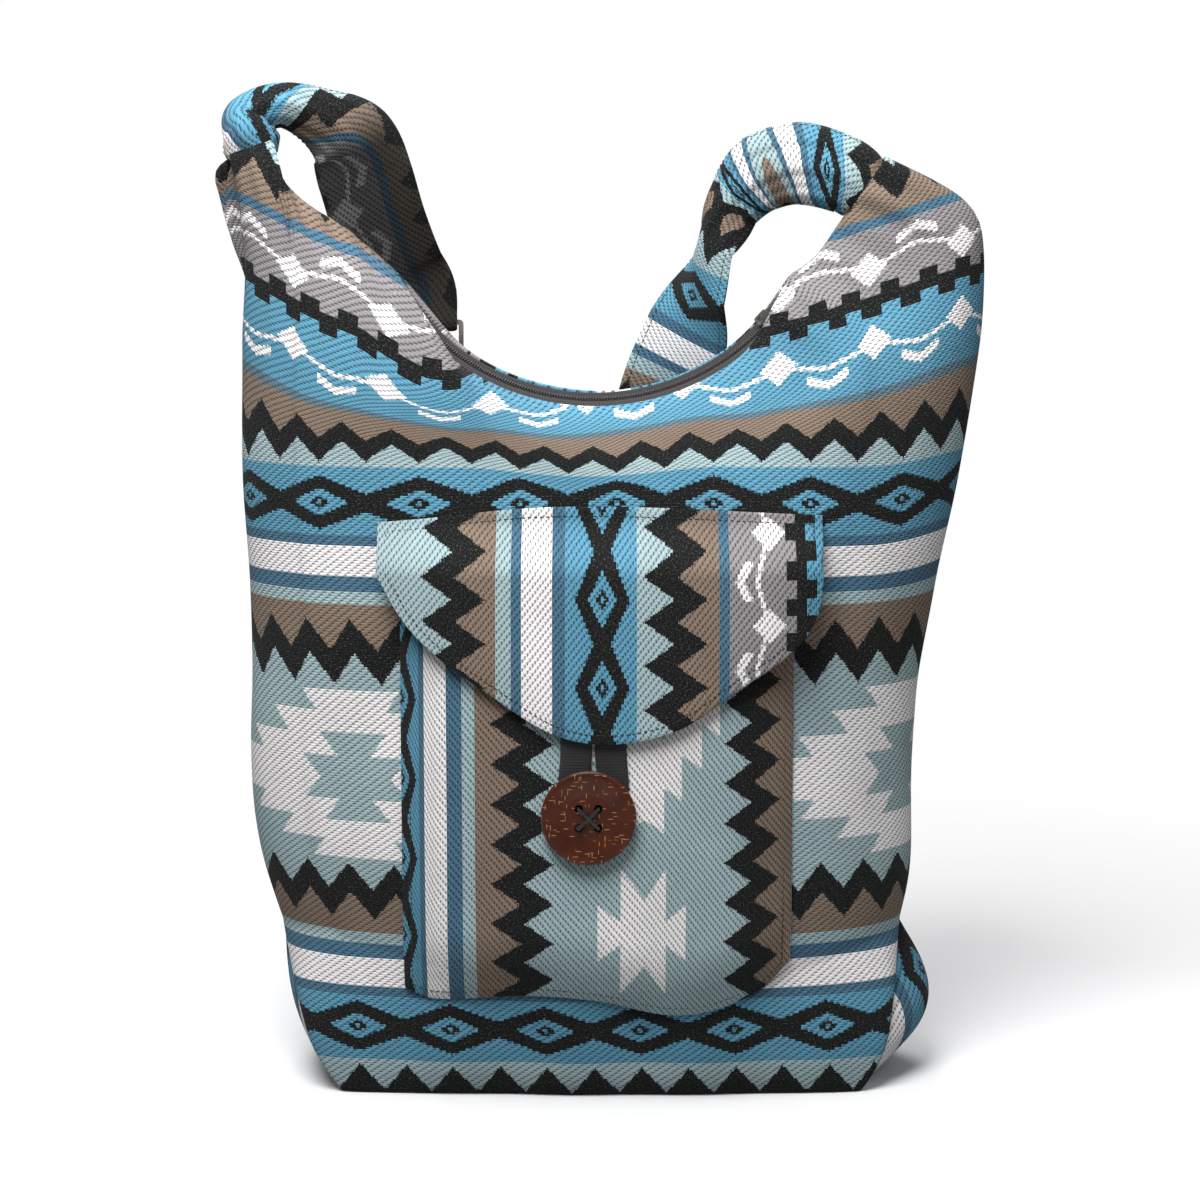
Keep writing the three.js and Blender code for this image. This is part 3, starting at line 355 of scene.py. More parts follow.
def sew(name, paths, out):
    """Rows of sewn thread: each stitch is a six-sided spindle that dips into the cloth at both ends."""
    length, pitch, thick = lengths("stitch", "stitch_pitch", "stitch_thread")
    across = np.array([(np.cos(a), np.sin(a)) for a in np.arange(6) * np.pi / 3])
    stations = np.array([(-0.5, 0.35, -0.5), (-0.3, 0.95, 0.12), (0.0, 1.0, 0.3), (0.3, 0.95, 0.12),
                         (0.5, 0.35, -0.5)])
    points, quads, count = [], [], 0
    ring, fan = np.arange(6), np.array([(0, 1, 2, 3), (0, 3, 4, 5)])
    for path, normal in zip(paths, out):
        placed, way = polyline(path, pitch)
        middle = (placed[1:] + placed[:-1]) / 2
        along = (way[1:] + way[:-1]) / 2
        up = np.atleast_2d(np.asarray(normal, float))
        up = up[np.linspace(0, len(up) - 1, len(middle)).round().astype(int)]
        up = unit(up - along * (up * along).sum(1, keepdims=True))
        wide = np.cross(along, up)
        for c, a, u, w in zip(middle, along, up, wide):
            for s, girth, lift in stations:
                centre = c + a * s * length + u * lift * thick
                points.append(centre + (across[:, :1] * w + across[:, 1:] * u) * girth * thick / 2)
            for k in range(4):
                base = count + 6 * k
                quads.append(np.stack([base + ring, base + (ring + 1) % 6, base + 6 + (ring + 1) % 6,
                                       base + 6 + ring], -1))
            quads += [fan[:, ::-1] + count, fan + count + 24]
            count += 30
    seam = make_mesh(name, np.concatenate(points), np.concatenate(quads), crisp=80)
    finish_piece(seam, thread_material(), "thread")


def linear(red, green, blue):
    """A colour given as 0 to 255 screen values, as linear light."""
    c = np.array([red, green, blue]) / 255
    return tuple(np.where(c < 0.04045, c / 12.92, ((c + 0.055) / 1.055) ** 2.4).tolist())


def colour_prop(name, description, red, green, blue):
    return bpy.props.FloatVectorProperty(
        name=name, description=description, subtype="COLOR", min=0, max=1, default=linear(red, green, blue))


def length_prop(name, description, millimetres):
    return bpy.props.FloatProperty(
        name=name, description=description, subtype="DISTANCE", unit="LENGTH", min=0,
        default=millimetres * MM, precision=5)


class WovenBagSizes(bpy.types.PropertyGroup):
    period: length_prop("Pattern repeat", "Width of one diamond of the woven chain", 45.5)
    rib: length_prop("Twill pitch", "Distance between two diagonal ribs of the cloth", 2.9)
    thread: length_prop("Thread step", "Step of the pattern's edges along its bands", 0.8)
    row: length_prop("Thread row", "Height of one row of threads", 1.33)
    stitch: length_prop("Stitch length", "Length of one visible stitch", 2.3)
    stitch_pitch: length_prop("Stitch pitch", "Distance from one stitch to the next", 3.1)
    stitch_thread: length_prop("Sewing thread", "Thickness of the sewing thread", 0.6)
    tooth: length_prop("Zip tooth pitch", "Distance between two turns of the zip's coil", 1.5)


class WovenBagColours(bpy.types.PropertyGroup):
    blue: colour_prop("Blue", "Bright blue yarn", 88, 146, 172)
    steel: colour_prop("Steel blue", "Darker blue yarn of the narrow stripes", 71, 108, 131)
    slate: colour_prop("Slate", "Blended blue and taupe yarn", 92, 116, 128)
    teal: colour_prop("Pale teal", "Pale teal yarn of the fields", 156, 178, 182)
    white: colour_prop("White", "White yarn", 234, 231, 231)
    grey: colour_prop("Grey", "Grey yarn", 140, 136, 138)
    taupe: colour_prop("Taupe", "Brown grey yarn", 130, 113, 99)
    black: colour_prop("Black", "Near-black yarn", 21, 23, 22)
    lining: colour_prop("Lining", "Plain black lining", 24, 24, 26)
    zip_tape: colour_prop("Zip tape", "Charcoal zip tape", 66, 63, 64)
    coconut: colour_prop("Coconut", "Polished coconut shell", 64, 26, 11)
    fleck: colour_prop("Fleck", "Pale fibres in the coconut shell", 176, 122, 74)
    metal: colour_prop("Metal", "Nickel plating", 200, 196, 188)
    floor: colour_prop("Floor", "Studio floor", 236, 236, 237)


def colours():
    return bpy.context.scene.woven_bag_colours


def lengths(*keys):
    """Lengths from the panel, in millimetres."""
    return [getattr(bpy.context.scene.woven_bag_sizes, key) / MM for key in keys]


def feed(tree, socket, item):
    """Links a Net or an output to a socket, or gives the socket a number, a colour or a vector."""
    item = item.out if isinstance(item, Net) else item
    if isinstance(item, bpy.types.NodeSocket):
        tree.links.new(item, socket)
    else:
        socket.default_value = (*item, 1) if socket.type == "RGBA" else item


def feed_all(tree, node, items):
    """Feeds a node's inputs by their names, in which _ stands for a space."""
    for label, item in items.items():
        feed(tree, node.inputs[label.replace("_", " ")], item)


def add_node(tree, kind, **items):
    node = tree.nodes.new("ShaderNode" + kind)
    feed_all(tree, node, items)
    return node


class Net:
    """A number in a shader node tree, so that a formula can be written out."""

    def __init__(self, tree, out):
        self.tree, self.out = tree, out

    def op(self, kind, *others):
        node = self.tree.nodes.new("ShaderNodeMath")
        node.operation = kind
        for socket, item in zip(node.inputs, (self, *others)):
            feed(self.tree, socket, item)
        return Net(self.tree, node.outputs[0])

    __add__, __sub__ = partialmethod(op, "ADD"), partialmethod(op, "SUBTRACT")
    __mul__, __truediv__ = partialmethod(op, "MULTIPLY"), partialmethod(op, "DIVIDE")
    below, above = partialmethod(op, "LESS_THAN"), partialmethod(op, "GREATER_THAN")
    size, share = partialmethod(op, "ABSOLUTE"), partialmethod(op, "FRACT")
    fold = partialmethod(op, "PINGPONG")

    def clamped(self):
        return self.op("MINIMUM", 1).op("MAXIMUM", 0)


def largest(first, *others):
    """The largest of some Nets."""
    for other in others:
        first = first.op("MAXIMUM", other)
    return first


def mix(tree, factor, a, b):
    """Colour a turned into b by the factor."""
    node = tree.nodes.new("ShaderNodeMix")
    node.data_type = "RGBA"
    for index, item in ((0, factor), (6, a), (7, b)):
        feed(tree, node.inputs[index], item)
    return node.outputs[2]


def scaled(tree, colour, shade):
    """A colour multiplied by a shade."""
    node = tree.nodes.new("ShaderNodeVectorMath")
    node.operation = "SCALE"
    feed(tree, node.inputs[0], colour)
    feed(tree, node.inputs["Scale"], shade)
    return node.outputs[0]


def new_group(name, inputs, outputs):
    """A shader group with sockets by name; gives its tree, its input Nets and its output node."""
    tree = bpy.data.node_groups.new(name, "ShaderNodeTree")
    for way, labels in (("INPUT", inputs), ("OUTPUT", outputs)):
        for label in labels:
            kind = "NodeSocketColor" if label == "Color" else "NodeSocketFloat"
            socket = tree.interface.new_socket(label, in_out=way, socket_type=kind)
            if way == "INPUT":
                socket.default_value = inputs[label]
    sockets = tree.nodes.new("NodeGroupInput").outputs[: len(inputs)] if inputs else []
    return tree, [Net(tree, socket) for socket in sockets], tree.nodes.new("NodeGroupOutput")


def noise(tree, x, y, scale, detail=2.0):
    """Noise in the plane of the cloth, around 0.5."""
    place = add_node(tree, "CombineXYZ", X=x, Y=y).outputs[0]
    return Net(tree, add_node(tree, "TexNoise", Scale=scale, Detail=detail, Vector=place).outputs["Fac"])


def pattern_group():
    """Colour of the patterned cloth at U along its bands and V across them, in millimetres."""
    yarn = colours()
    period, thread, row = lengths("period", "thread", "row")
    tree, (u, v), sink = new_group("cloth_pattern", {"U": 0.0, "V": 0.0}, ["Color"])
    u, v = u.op("SNAP", thread), v.op("SNAP", row)
    d = v.fold(REPEAT / 2)
    turns = u / period
    wave = (turns * 2).fold(0.5) * 4 - 1
    stripes = tree.nodes.new("ShaderNodeValToRGB")
    stripes.color_ramp.interpolation = "CONSTANT"
    ramp = stripes.color_ramp.elements
    while len(ramp) < len(BANDS):
        ramp.new(1.0)
    for element, (start, key) in zip(ramp, BANDS):
        element.position = start / (REPEAT / 2)
        element.color = (*getattr(yarn, key), 1)
    tree.links.new((d / (REPEAT / 2)).out, stripes.inputs[0])
    colour = stripes.outputs[0]
    for centre in ZIGZAGS:
        teeth = (d - centre - wave * ZIGZAG_RISE).size().below(ZIGZAG_HALF)
        colour = mix(tree, teeth, colour, yarn.black)

    across = turns.fold(0.5) * period
    off = (d - CHAINS[0]).size().op("MINIMUM", (d - CHAINS[1]).size())
    colour = mix(tree, (off + across * (LINK_RISE / (period / 2))).below(LINK_REACH), colour, yarn.black)
    for wide, high, key in DIAMONDS:
        colour = mix(tree, ((across / wide) + (off / high)).below(1), colour, getattr(yarn, key))

    square = (turns * WALLS_PER_PERIOD).share().below(0.5)
    wall = (d - BATTLEMENT - (square * WALL_STEP - WALL_STEP / 2)).size().below(WALL_HALF)
    colour = mix(tree, wall, colour, yarn.black)
    late = turns - KITE_DELAY
    across = late.fold(0.5) * period
    between, slow = (across * -1) + period / 2, late.fold(0.5) * 4 - 1
    for centre, way in ((BLUE_LINE, 1), (GREY_LINE, -1)):
        kite = ((between / KITE_WIDE) + ((d - (centre + KITE_LIFT * way)).size() / KITE_HIGH)).below(1)
        line = (d - centre - slow * (LINE_SWING * way)).size().below(LINE_HALF)
        bird = (d - (centre - BIRD_DROP * way) - across * (BIRD_SLOPE * way)).size().below(BIRD_HALF)
        bird = bird * across.below(BIRD_REACH)
        colour = mix(tree, largest(kite, line, bird), colour, yarn.white)

    pair = 6 * period
    large = ((u - pair / 2 + STAR_SHIFT) / pair).fold(0.5) * pair
    small = (large * -1) + pair / 2
    steps = ((d * -1) + STAR_HIGH) / STEP_HIGH
    level = steps.op("FLOOR").op("MINIMUM", 3)
    reach = level * STEP_WIDE - (steps - level) * STEP_SLANT + STAR_WAIST
    large_star = large.below(reach) * d.below(STAR_HIGH)
    column = d.below(12) * small.below(d * (17 / 12) + 19)
    wings = d.below(24.5) * d.above(12) * small.below(d * 0.83 - 4)
    colour = mix(tree, largest(large_star, column, wings), colour, yarn.white)
    waist = d.below(11.5) * large.below(d * (9 / 11.5) + 18)
    caps = d.below(23) * d.above(10.5) * large.below(d * 0.72)
    feed(tree, sink.inputs["Color"], mix(tree, largest(waist, caps), colour, yarn.teal))
    return tree


def weave_group():
    """Twill over a colour: rows of threads with dark pits in slanting lines, shaded yarn and a height; its
    last input paints shade, turning the colour near black with a faint trace of the pattern.
    """
    yarn = colours()
    pitch, row = lengths("rib", "row")
    tree, (base, u, v, lean, underside_shade), sink = new_group(
        "twill_weave", {"Color": (0.5, 0.5, 0.5, 1), "U": 0.0, "V": 0.0, "Lean": 1.0, "Reverse": 0.0},
        ["Color", "Height"])
    pits, lines, specks, fade = 0.6, 0.22, 0.1, 0.12
    fuzz = noise(tree, u, v, 1.1, 3)
    broad = noise(tree, u, v, 0.02, 2)
    course = v / row + (fuzz - 0.5) * 0.12
    thread = (course.share() * 2 - 1).size()
    shift, repeat = row * 1.25, pitch * 1.55
    slant = (u - course.op("FLOOR") * lean * shift) / repeat + (fuzz - 0.5) * 0.25
    dot = (((slant.share() * 2 - 1).size() * -1 + 0.5) * 4).clamped()
    hole = ((thread * -1 + 0.6) * 4).clamped()
    line = (((u - (course - 0.5) * lean * shift) / repeat).share() * 2 - 1).size()
    line = ((line * -1 + 0.5) * 3).clamped()
    colour = mix(tree, (dot * hole * pits) + (line * lines), base, yarn.black)
    speck = ((fuzz - 0.54) * 4).clamped()
    colour = mix(tree, speck * specks, colour, yarn.white)
    colour = scaled(tree, colour, (broad - 0.5) * 0.35 + (fuzz - 0.5) * 0.5 + 1.0)
    # Painted shade: the face of a strap that lies in shade is made near black, keeping 0.12 of the pattern's
    # colour.
    back = mix(tree, fade, [c * 0.8 for c in yarn.black], colour)
    feed_all(tree, sink, {"Color": mix(tree, underside_shade, colour, back),
                          "Height": thread * thread * -0.35 - dot * 0.6 + fuzz * 0.3 + 1})
    return tree


def new_material(name, **values):
    """A material with one Principled shader; gives the material, its tree and the shader."""
    material = bpy.data.materials.new(name)
    material.use_nodes = True
    tree = material.node_tree
    shader = next(n for n in tree.nodes if n.type == "BSDF_PRINCIPLED")
    feed_all(tree, shader, values)
    return material, tree, shader


def cloth_place(tree):
    """U and V of the cloth in millimetres, from the piece's own UV map."""
    uv = tree.nodes.new("ShaderNodeUVMap")
    uv.uv_map = "cloth"
    parts = add_node(tree, "SeparateXYZ", Vector=uv.outputs[0])
    return [Net(tree, part) * UV_UNIT for part in parts.outputs[:2]]


def add_bump(tree, height, distance, strength):
    return add_node(tree, "Bump", Strength=strength, Distance=distance, Height=height).outputs[0]


def use_group(tree, name, build, **items):
    """A node of the named group, which is built at its first use."""
    node = tree.nodes.new("ShaderNodeGroup")
    node.node_tree = bpy.data.node_groups.get(name) or build()
    feed_all(tree, node, items)
    return node.outputs


def woven_material(lean):
    """Patterned twill; lean is 1 where its ribs rise to the right and -1 where the cloth was turned."""
    name = "twill" if lean > 0 else "twill_turned"
    if name in bpy.data.materials:
        return bpy.data.materials[name]
    material, tree, shader = new_material(
        name, Roughness=0.95, Sheen_Weight=0.04, Sheen_Roughness=0.6, Specular_IOR_Level=0.07)
    u, v = cloth_place(tree)
    pattern = use_group(tree, "cloth_pattern", pattern_group, U=u, V=v)
    # The underside shade attribute is 1 on the strap faces painted near black as shade and 0 elsewhere.
    underside_shade, slip = tree.nodes.new("ShaderNodeAttribute"), tree.nodes.new("ShaderNodeAttribute")
    underside_shade.attribute_name, slip.attribute_name = "underside_shade", "slip"
    twill = use_group(tree, "twill_weave", weave_group, Color=pattern[0], U=u,
                      V=v - Net(tree, slip.outputs["Fac"]), Lean=float(lean), Reverse=underside_shade.outputs["Fac"])
    feed_all(tree, shader, {"Base Color": twill["Color"],
                            "Normal": add_bump(tree, twill["Height"], 0.0006, 0.75)})
    return material


def tape_group():
    """Fine ribs across a tape, by U along it in millimetres: a shade and a height."""
    inputs = {"U": 0.0, "V": 0.0, "Pitch": 1.0}
    tree, (u, v, pitch), sink = new_group("tape_ribs", inputs, ["Shade", "Height"])
    rib = ((u / pitch).share() * 2 - 1).size()
    fuzz = noise(tree, u, v, 1.7, 2)
    feed_all(tree, sink, {"Shade": rib * -0.3 + fuzz * 0.35 + 0.95,
                          "Height": rib * rib * -1 + fuzz * 0.3 + 1})
    return tree


def tape_material(name, colour, pitch, roughness=0.85):
    """Plain ribbed tape or plain woven lining."""
    if name in bpy.data.materials:
        return bpy.data.materials[name]
    material, tree, shader = new_material(name, Roughness=roughness, Specular_IOR_Level=0.3)
    u, v = cloth_place(tree)
    ribs = use_group(tree, "tape_ribs", tape_group, U=u, V=v, Pitch=pitch)
    feed_all(tree, shader, {"Base Color": scaled(tree, colour, ribs["Shade"]),
                            "Normal": add_bump(tree, ribs["Height"], 0.0003, 0.6)})
    return material


FIBRES = ((0.5, (1100, 60, 130)), (1.9, (120, 60, 1150)), (2.6, (1200, 60, 150)), (1.2, (140, 60, 1100)))


def grain_group():
    """Streaks and flecks in an object's own coordinates: a mask of pale fibres, a shade and a height."""
    tree, _inputs, sink = new_group("shell_grain", {}, ["Fleck", "Shade", "Height"])
    place = tree.nodes.new("ShaderNodeTexCoord").outputs["Object"]
    masks = []
    for turn, stretch in FIBRES:
        lay = add_node(tree, "Mapping", Rotation=(0, turn, 0), Scale=stretch, Vector=place)
        cells = add_node(tree, "TexVoronoi", Scale=1.0, Vector=lay.outputs[0])
        chosen = add_node(tree, "SeparateColor", Color=cells.outputs["Color"]).outputs[0]
        masks.append(Net(tree, cells.outputs["Distance"]).below(0.2) * Net(tree, chosen).above(0.72))
    cloud = Net(tree, add_node(tree, "TexNoise", Scale=90, Detail=6, Vector=place).outputs["Fac"])
    fleck = largest(*masks)
    feed_all(tree, sink, {"Fleck": fleck, "Shade": cloud * 1.6 + 0.2, "Height": cloud * 0.6 - fleck * 0.2})
    return tree


def coconut_material():
    material, tree, shader = new_material(
        "coconut_shell", Roughness=0.34, Specular_IOR_Level=0.25, Coat_Weight=0.3, Coat_Roughness=0.15)
    grain = use_group(tree, "shell_grain", grain_group)
    shell = scaled(tree, colours().coconut, grain["Shade"])
    feed_all(tree, shader, {"Base Color": mix(tree, grain["Fleck"], shell, colours().fleck),
                            "Normal": add_bump(tree, grain["Height"], 0.0004, 0.35)})
    return material


def wear_group():
    """Fine scuffs in an object's own coordinates, as a roughness."""
    tree, _inputs, sink = new_group("metal_wear", {}, ["Roughness"])
    place = tree.nodes.new("ShaderNodeTexCoord").outputs["Object"]
    scuff = add_node(tree, "TexNoise", Scale=260, Detail=5, Vector=place)
    feed(tree, sink.inputs["Roughness"], Net(tree, scuff.outputs["Fac"]) * 0.35 + 0.12)
    return tree


def metal_material(name, shade):
    material, tree, shader = new_material(name, Metallic=1.0, Base_Color=[c * shade for c in colours().metal])
    feed(tree, shader.inputs["Roughness"], use_group(tree, "metal_wear", wear_group)[0])
    return material


def thread_material():
    name = "sewing_thread"
    return bpy.data.materials.get(name) or new_material(name, Roughness=0.7, Base_Color=colours().black)[0]


def finish_piece(obj, material, slot, *nodes):
    """Puts a new piece on the bag in place of its frame nodes."""
    obj.data.materials.append(material)
    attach(obj, "bag")
    if nodes:
        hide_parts(*nodes)
    return obj


def lay_woven(name, node, lean, *sheet):
    """Lays a sheet of patterned cloth on the bag in place of a frame node."""
    return finish_piece(make_sheet(name, *sheet), woven_material(lean), "woven_cloth", node)


def lay_lining(name, node, *sheet):
    material = tape_material("plain_lining", colours().lining, 0.9)
    finish_piece(make_sheet(name, *sheet), material, "lining_cloth", node)


def dress(node, material):
    """Gives a frame node that stays its finished material."""
    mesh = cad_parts[node].data
    mesh.materials.clear()
    mesh.materials.append(material)
    mesh.set_sharp_from_angle(angle=np.radians(35))


def body_cloth(x, z, run):
    """U and V of the body's cloth: its bands follow the height and rise towards the mouth."""
    reach = np.hypot(x - MOUTH_X, z - MOUTH_Z) - MOUTH_RADIUS
    rise = lerp(*RIM_RISE, smooth(x, -60, 80)) * (1 - smooth(reach, 3, 44))
    rise = lerp(rise, profile(HORN_RISE, x), smooth(np.abs(x), 40, 80) * smooth(z, 340, 385))
    v = z - BAND_DROP + rise + 5 * np.exp(-(((z - 165) / 60) ** 2))
    v = v - 6 * smooth(x, 140, 195) * smooth(z, 240, 300)
    slip = lerp(-9, 4, np.clip(z / 300, 0, 1)) + 5 * smooth(-x, 70, 130) * smooth(z, 200, 300)
    return np.stack([run * BAND_SCALE - BAND_START + slip, v - FIELD_HEIGHT], -1)


class WOVENBAG_OT_panels(bpy.types.Operator):
    """Front and back panels of patterned cloth, with soft creases and pleats at the horns."""

    bl_idname = "woven_bag.panels"
    bl_label = "Body panels"

    def execute(self, context):
        u, v = shares(161, 181)
        f = share_across(u)
        right_out, left_out, horn_out = 3.4, 2, 17
        for side, name in ((-1, "front_panel"), (1, "back_panel")):
            grid = panel_point(side, f, v)
            x, z = grid[..., 0].copy(), grid[..., 2]
            middle = smooth(z, 210, 270) * (1 - smooth(z, 400, 450))
            grid[..., 0] += middle * (right_out * smooth(x, 110, 180) - left_out * smooth(-x, 110, 180))
            if side > 0:
                high = smooth(z, 395, 455) * (1 - smooth(z, 492, 510))
                grid[..., 0] -= horn_out * high * np.sin(np.pi * np.clip(f / 0.2, 0, 1))
            out = (creases(x * side, z) + gathers(f, v)) * np.sin(np.pi * f) ** 0.4
            calm = smooth(v, 0, 0.03) * (1 - smooth(v, 0.985, 1))
            run = run_across(grid)
            grid = grid - unit_normals(grid) * (side * out * calm)[..., None]
            uv = body_cloth(x, z, run * -side)
            lay_woven(name + "_cloth", name, 1, grid, *sorted((0, side * CLOTH)), uv, 0.3)
        return {"FINISHED"}


class WOVENBAG_OT_gusset(bpy.types.Operator):
    """Base and pointed side gussets in one long oval of cloth, its bands running along it."""

    bl_idname = "woven_bag.gusset"
    bl_label = "Gusset"

    def execute(self, context):
        floor_inset, side_inset, tip = CLOTH + 0.2, 0.8, GUSSET_HEIGHT - 1.5
        share, bulge, gusset_v = 0.24, (8, 24), 150
        t = np.linspace(0, 0.5, 400)
        u = np.concatenate([np.linspace(0, share, 50), np.linspace(share, 1 - share, 60)[1:],
                            np.linspace(1 - share, 1, 50)[1:]])
        across = np.linspace(-1, 1, 41)
        rows = []
        for s in u:
            if share <= s <= 1 - share:
                f = (s - share) / (1 - 2 * share)
                half = body_depth(np.array(f), np.array(0.0), SEAM_HALF_DEPTH, 0) - floor_inset
                x = np.full_like(across, lerp(FLOOR_LEFT, FLOOR_RIGHT, f))
                rows.append(np.stack([x, across * half, np.zeros_like(across)], -1))
                continue
            left = s < share
            up = 1 - s / share if left else 1 - (1 - s) / share
            seam = spline(LEFT_SEAM if left else RIGHT_SEAM, t)
            height = tip * up
            edge = np.interp(height, seam[:, 1], seam[:, 0])
            inset = lerp(floor_inset, side_inset, smooth(up, 0, 0.15))
            half = max(float(seam_depth(height)) - inset, 0.6)
            swell = np.sin(np.pi * up**0.85) * (1 - across**2)
            x = edge + (-bulge[0] if left else bulge[1]) * swell
            rows.append(np.stack([x, across * half, np.full_like(across, height)], -1))
        grid = np.stack(rows, 1)
        uv = np.stack(np.broadcast_arrays(run_length(grid[20])[None, :], grid[..., 1] + gusset_v), -1)
        lay_woven("gusset_cloth", "base_gusset", 1, grid, 0, CLOTH, uv, 0.2)
        return {"FINISHED"}


class WOVENBAG_OT_linings(bpy.types.Operator):
    """Plain black lining of two leaves inside the bag."""

    bl_idname = "woven_bag.linings"
    bl_label = "Linings"

    def execute(self, context):
        u, v = shares(61, 61)
        inset, floor = CLOTH + 2.6, 0.1
        f = share_across(u)
        top = lerp(0.88, 0.83, np.abs(2 * f - 1) ** 2)
        height = lerp(0.04, top, np.clip((v - floor) / (1 - floor), 0, 1))
        for side, name in ((-1, "lining_front"), (1, "lining_back")):
            grid = panel_point(side, lerp(0.03, 0.97, f), height)
            half = np.minimum(np.abs(grid[..., 1]), body_depth(f, height, SEAM_GAP, MOUTH_GAP))
            grid[..., 1] = side * lerp(SEAM_GAP, half, np.clip(v / floor, 0, 1))
            ends = sorted((side * inset, side * (inset + 0.9)))
            lay_lining(name + "_cloth", name, grid, *ends, grid[..., [0, 2]])
        return {"FINISHED"}


def pocket_rise(x, z):
    middle = (POCKET_LEFT + POCKET_RIGHT) / 2
    across = np.clip((x - middle) / (POCKET_RIGHT - middle), -1, 1)
    up = np.clip((z - profile(POCKET_BOTTOM, x)) / POCKET_PLEAT, 0, 1)
    return POCKET_RISE * (1 - across**6) * (1 - (1 - up) ** 2)


def pocket_face(x, z):
    """Depth of the pocket's outer face."""
    return front_depth(x, z) - POCKET_EASE - pocket_rise(x, z) - POCKET_CLOTH


def pocket_path(x, z):
    return np.stack([x, pocket_face(x, z), z], -1)


def pocket_folds(x, z):
    """Shallow upright folds of the full pocket, in millimetres inwards."""
    low = 1 - smooth(z, 90, 210)
    return (0.9 * np.sin(x / 9.5 + z / 60) ** 2 * low + 0.8 * np.exp(-(((x + 88) / 6) ** 2))
            + 0.5 * np.exp(-(((x - 88) / 5) ** 2)))


class WOVENBAG_OT_pocket(bpy.types.Operator):
    """Front pocket of the same cloth turned a quarter, with shallow folds and topstitching."""

    bl_idname = "woven_bag.pocket"
    bl_label = "Pocket"

    def execute(self, context):
        u, v = shares(141, 141)
        x = lerp(POCKET_LEFT, POCKET_RIGHT, share_across(u) * 0.6 + u * 0.4)
        z = lerp(profile(POCKET_BOTTOM, x), POCKET_TOP, v)
        inner = pocket_face(x, z) + POCKET_CLOTH
        edge = np.minimum(smooth(u, 0, 0.05), 1 - smooth(u, 0.95, 1)) * smooth(v, 0, 0.06)
        grid = np.stack([x, inner + pocket_folds(x, z) * edge, z], -1)
        field_x, stretch, tuck = 22.6, 1.14, 15
        star_z, star_scale, star_u = 225.5, 1.066, 136.5
        across = (x - field_x) * lerp(1, stretch, smooth(x, 0, 50)) - tuck * smooth(-x, 84, 106)
        uv = np.stack([(z - star_z) * star_scale + star_u - STAR_SHIFT, across], -1)
        lay_woven("pocket_cloth", "pocket_panel", -1, grid, 0, POCKET_CLOTH, uv, 0.4)
        rise, inset, paths = np.linspace(0, 1, 60), 4, []
        for edge_x in (POCKET_LEFT + inset, POCKET_RIGHT - inset):
            px = np.full_like(rise, edge_x)
            pz = lerp(profile(POCKET_BOTTOM, px) + inset, POCKET_TOP - inset, rise)
            paths.append(pocket_path(px, pz))
        px = np.linspace(POCKET_LEFT + inset, POCKET_RIGHT - inset, 90)
        paths.append(pocket_path(px, profile(POCKET_BOTTOM, px) + inset))
        sew("pocket_stitching", paths, [FRONT] * 3)
        return {"FINISHED"}


def flap_point(x, z, extra):
    down = smooth(POCKET_TOP + 30 - z, 0, 28)
    sides = 1 - np.abs(x / (FLAP_HALF_WIDTH + 16)) ** 4
    rise = POCKET_EASE + POCKET_CLOTH + LOOP_TAPE + 3 * LAYER_GAP + POCKET_RISE * sides
    return front_depth(x, z) - LAYER_GAP - down * rise - extra


class WOVENBAG_OT_flap(bpy.types.Operator):
    """Pocket flap with its lining and one row of topstitching round it."""

    bl_idname = "woven_bag.flap"
    bl_label = "Flap"

    def execute(self, context):
        u, v = shares(121, 91)
        x = lerp(-FLAP_HALF_WIDTH, FLAP_HALF_WIDTH, share_across(u) * 0.5 + u * 0.5)
        z = lerp(profile(FLAP_BOTTOM, x), profile(FLAP_TOP, x), v)
        outer = FLAP_LINING + 2 * LAYER_GAP
        grid = np.stack([x, flap_point(x, z, outer), z], -1)
        flap_u, flap_v = 229, 360.9
        uv = np.stack([z - flap_u, flap_v - x], -1)
        lay_woven("flap_cloth", "pocket_flap", -1, grid, 0, FLAP_CLOTH, uv, 0.5)
        under = np.stack([x, flap_point(x, z, 0), z], -1)
        lay_lining("flap_lining_cloth", "flap_lining", under, 0, FLAP_LINING + 0.3, np.stack([x, z], -1), 0.3)
        turn = np.linspace(0, 2 * np.pi, 400)
        span, inset = FLAP_HALF_WIDTH, 4.6
        px = span * np.clip(-np.cos(turn) * 1.04, -1, 1)
        top, bottom = profile(FLAP_TOP, px), profile(FLAP_BOTTOM, px)
        edge = np.where(turn < np.pi, bottom, top)
        ring = np.stack([px, edge], -1)
        step = np.gradient(ring, axis=0)
        step /= np.maximum(np.linalg.norm(step, axis=1, keepdims=True), 1e-6)
        inner = ring + inset * np.stack([-step[:, 1], step[:, 0]], -1)
        inner = inner[np.abs(inner[:, 0]) < span - inset * 0.9]
        inner = np.concatenate([inner, inner[:1]])
        face = flap_point(inner[:, 0], inner[:, 1], outer + FLAP_CLOTH)
        path = np.stack([inner[:, 0], face, inner[:, 1]], -1)
        sew("flap_stitching", [path], [FRONT])
        return {"FINISHED"}


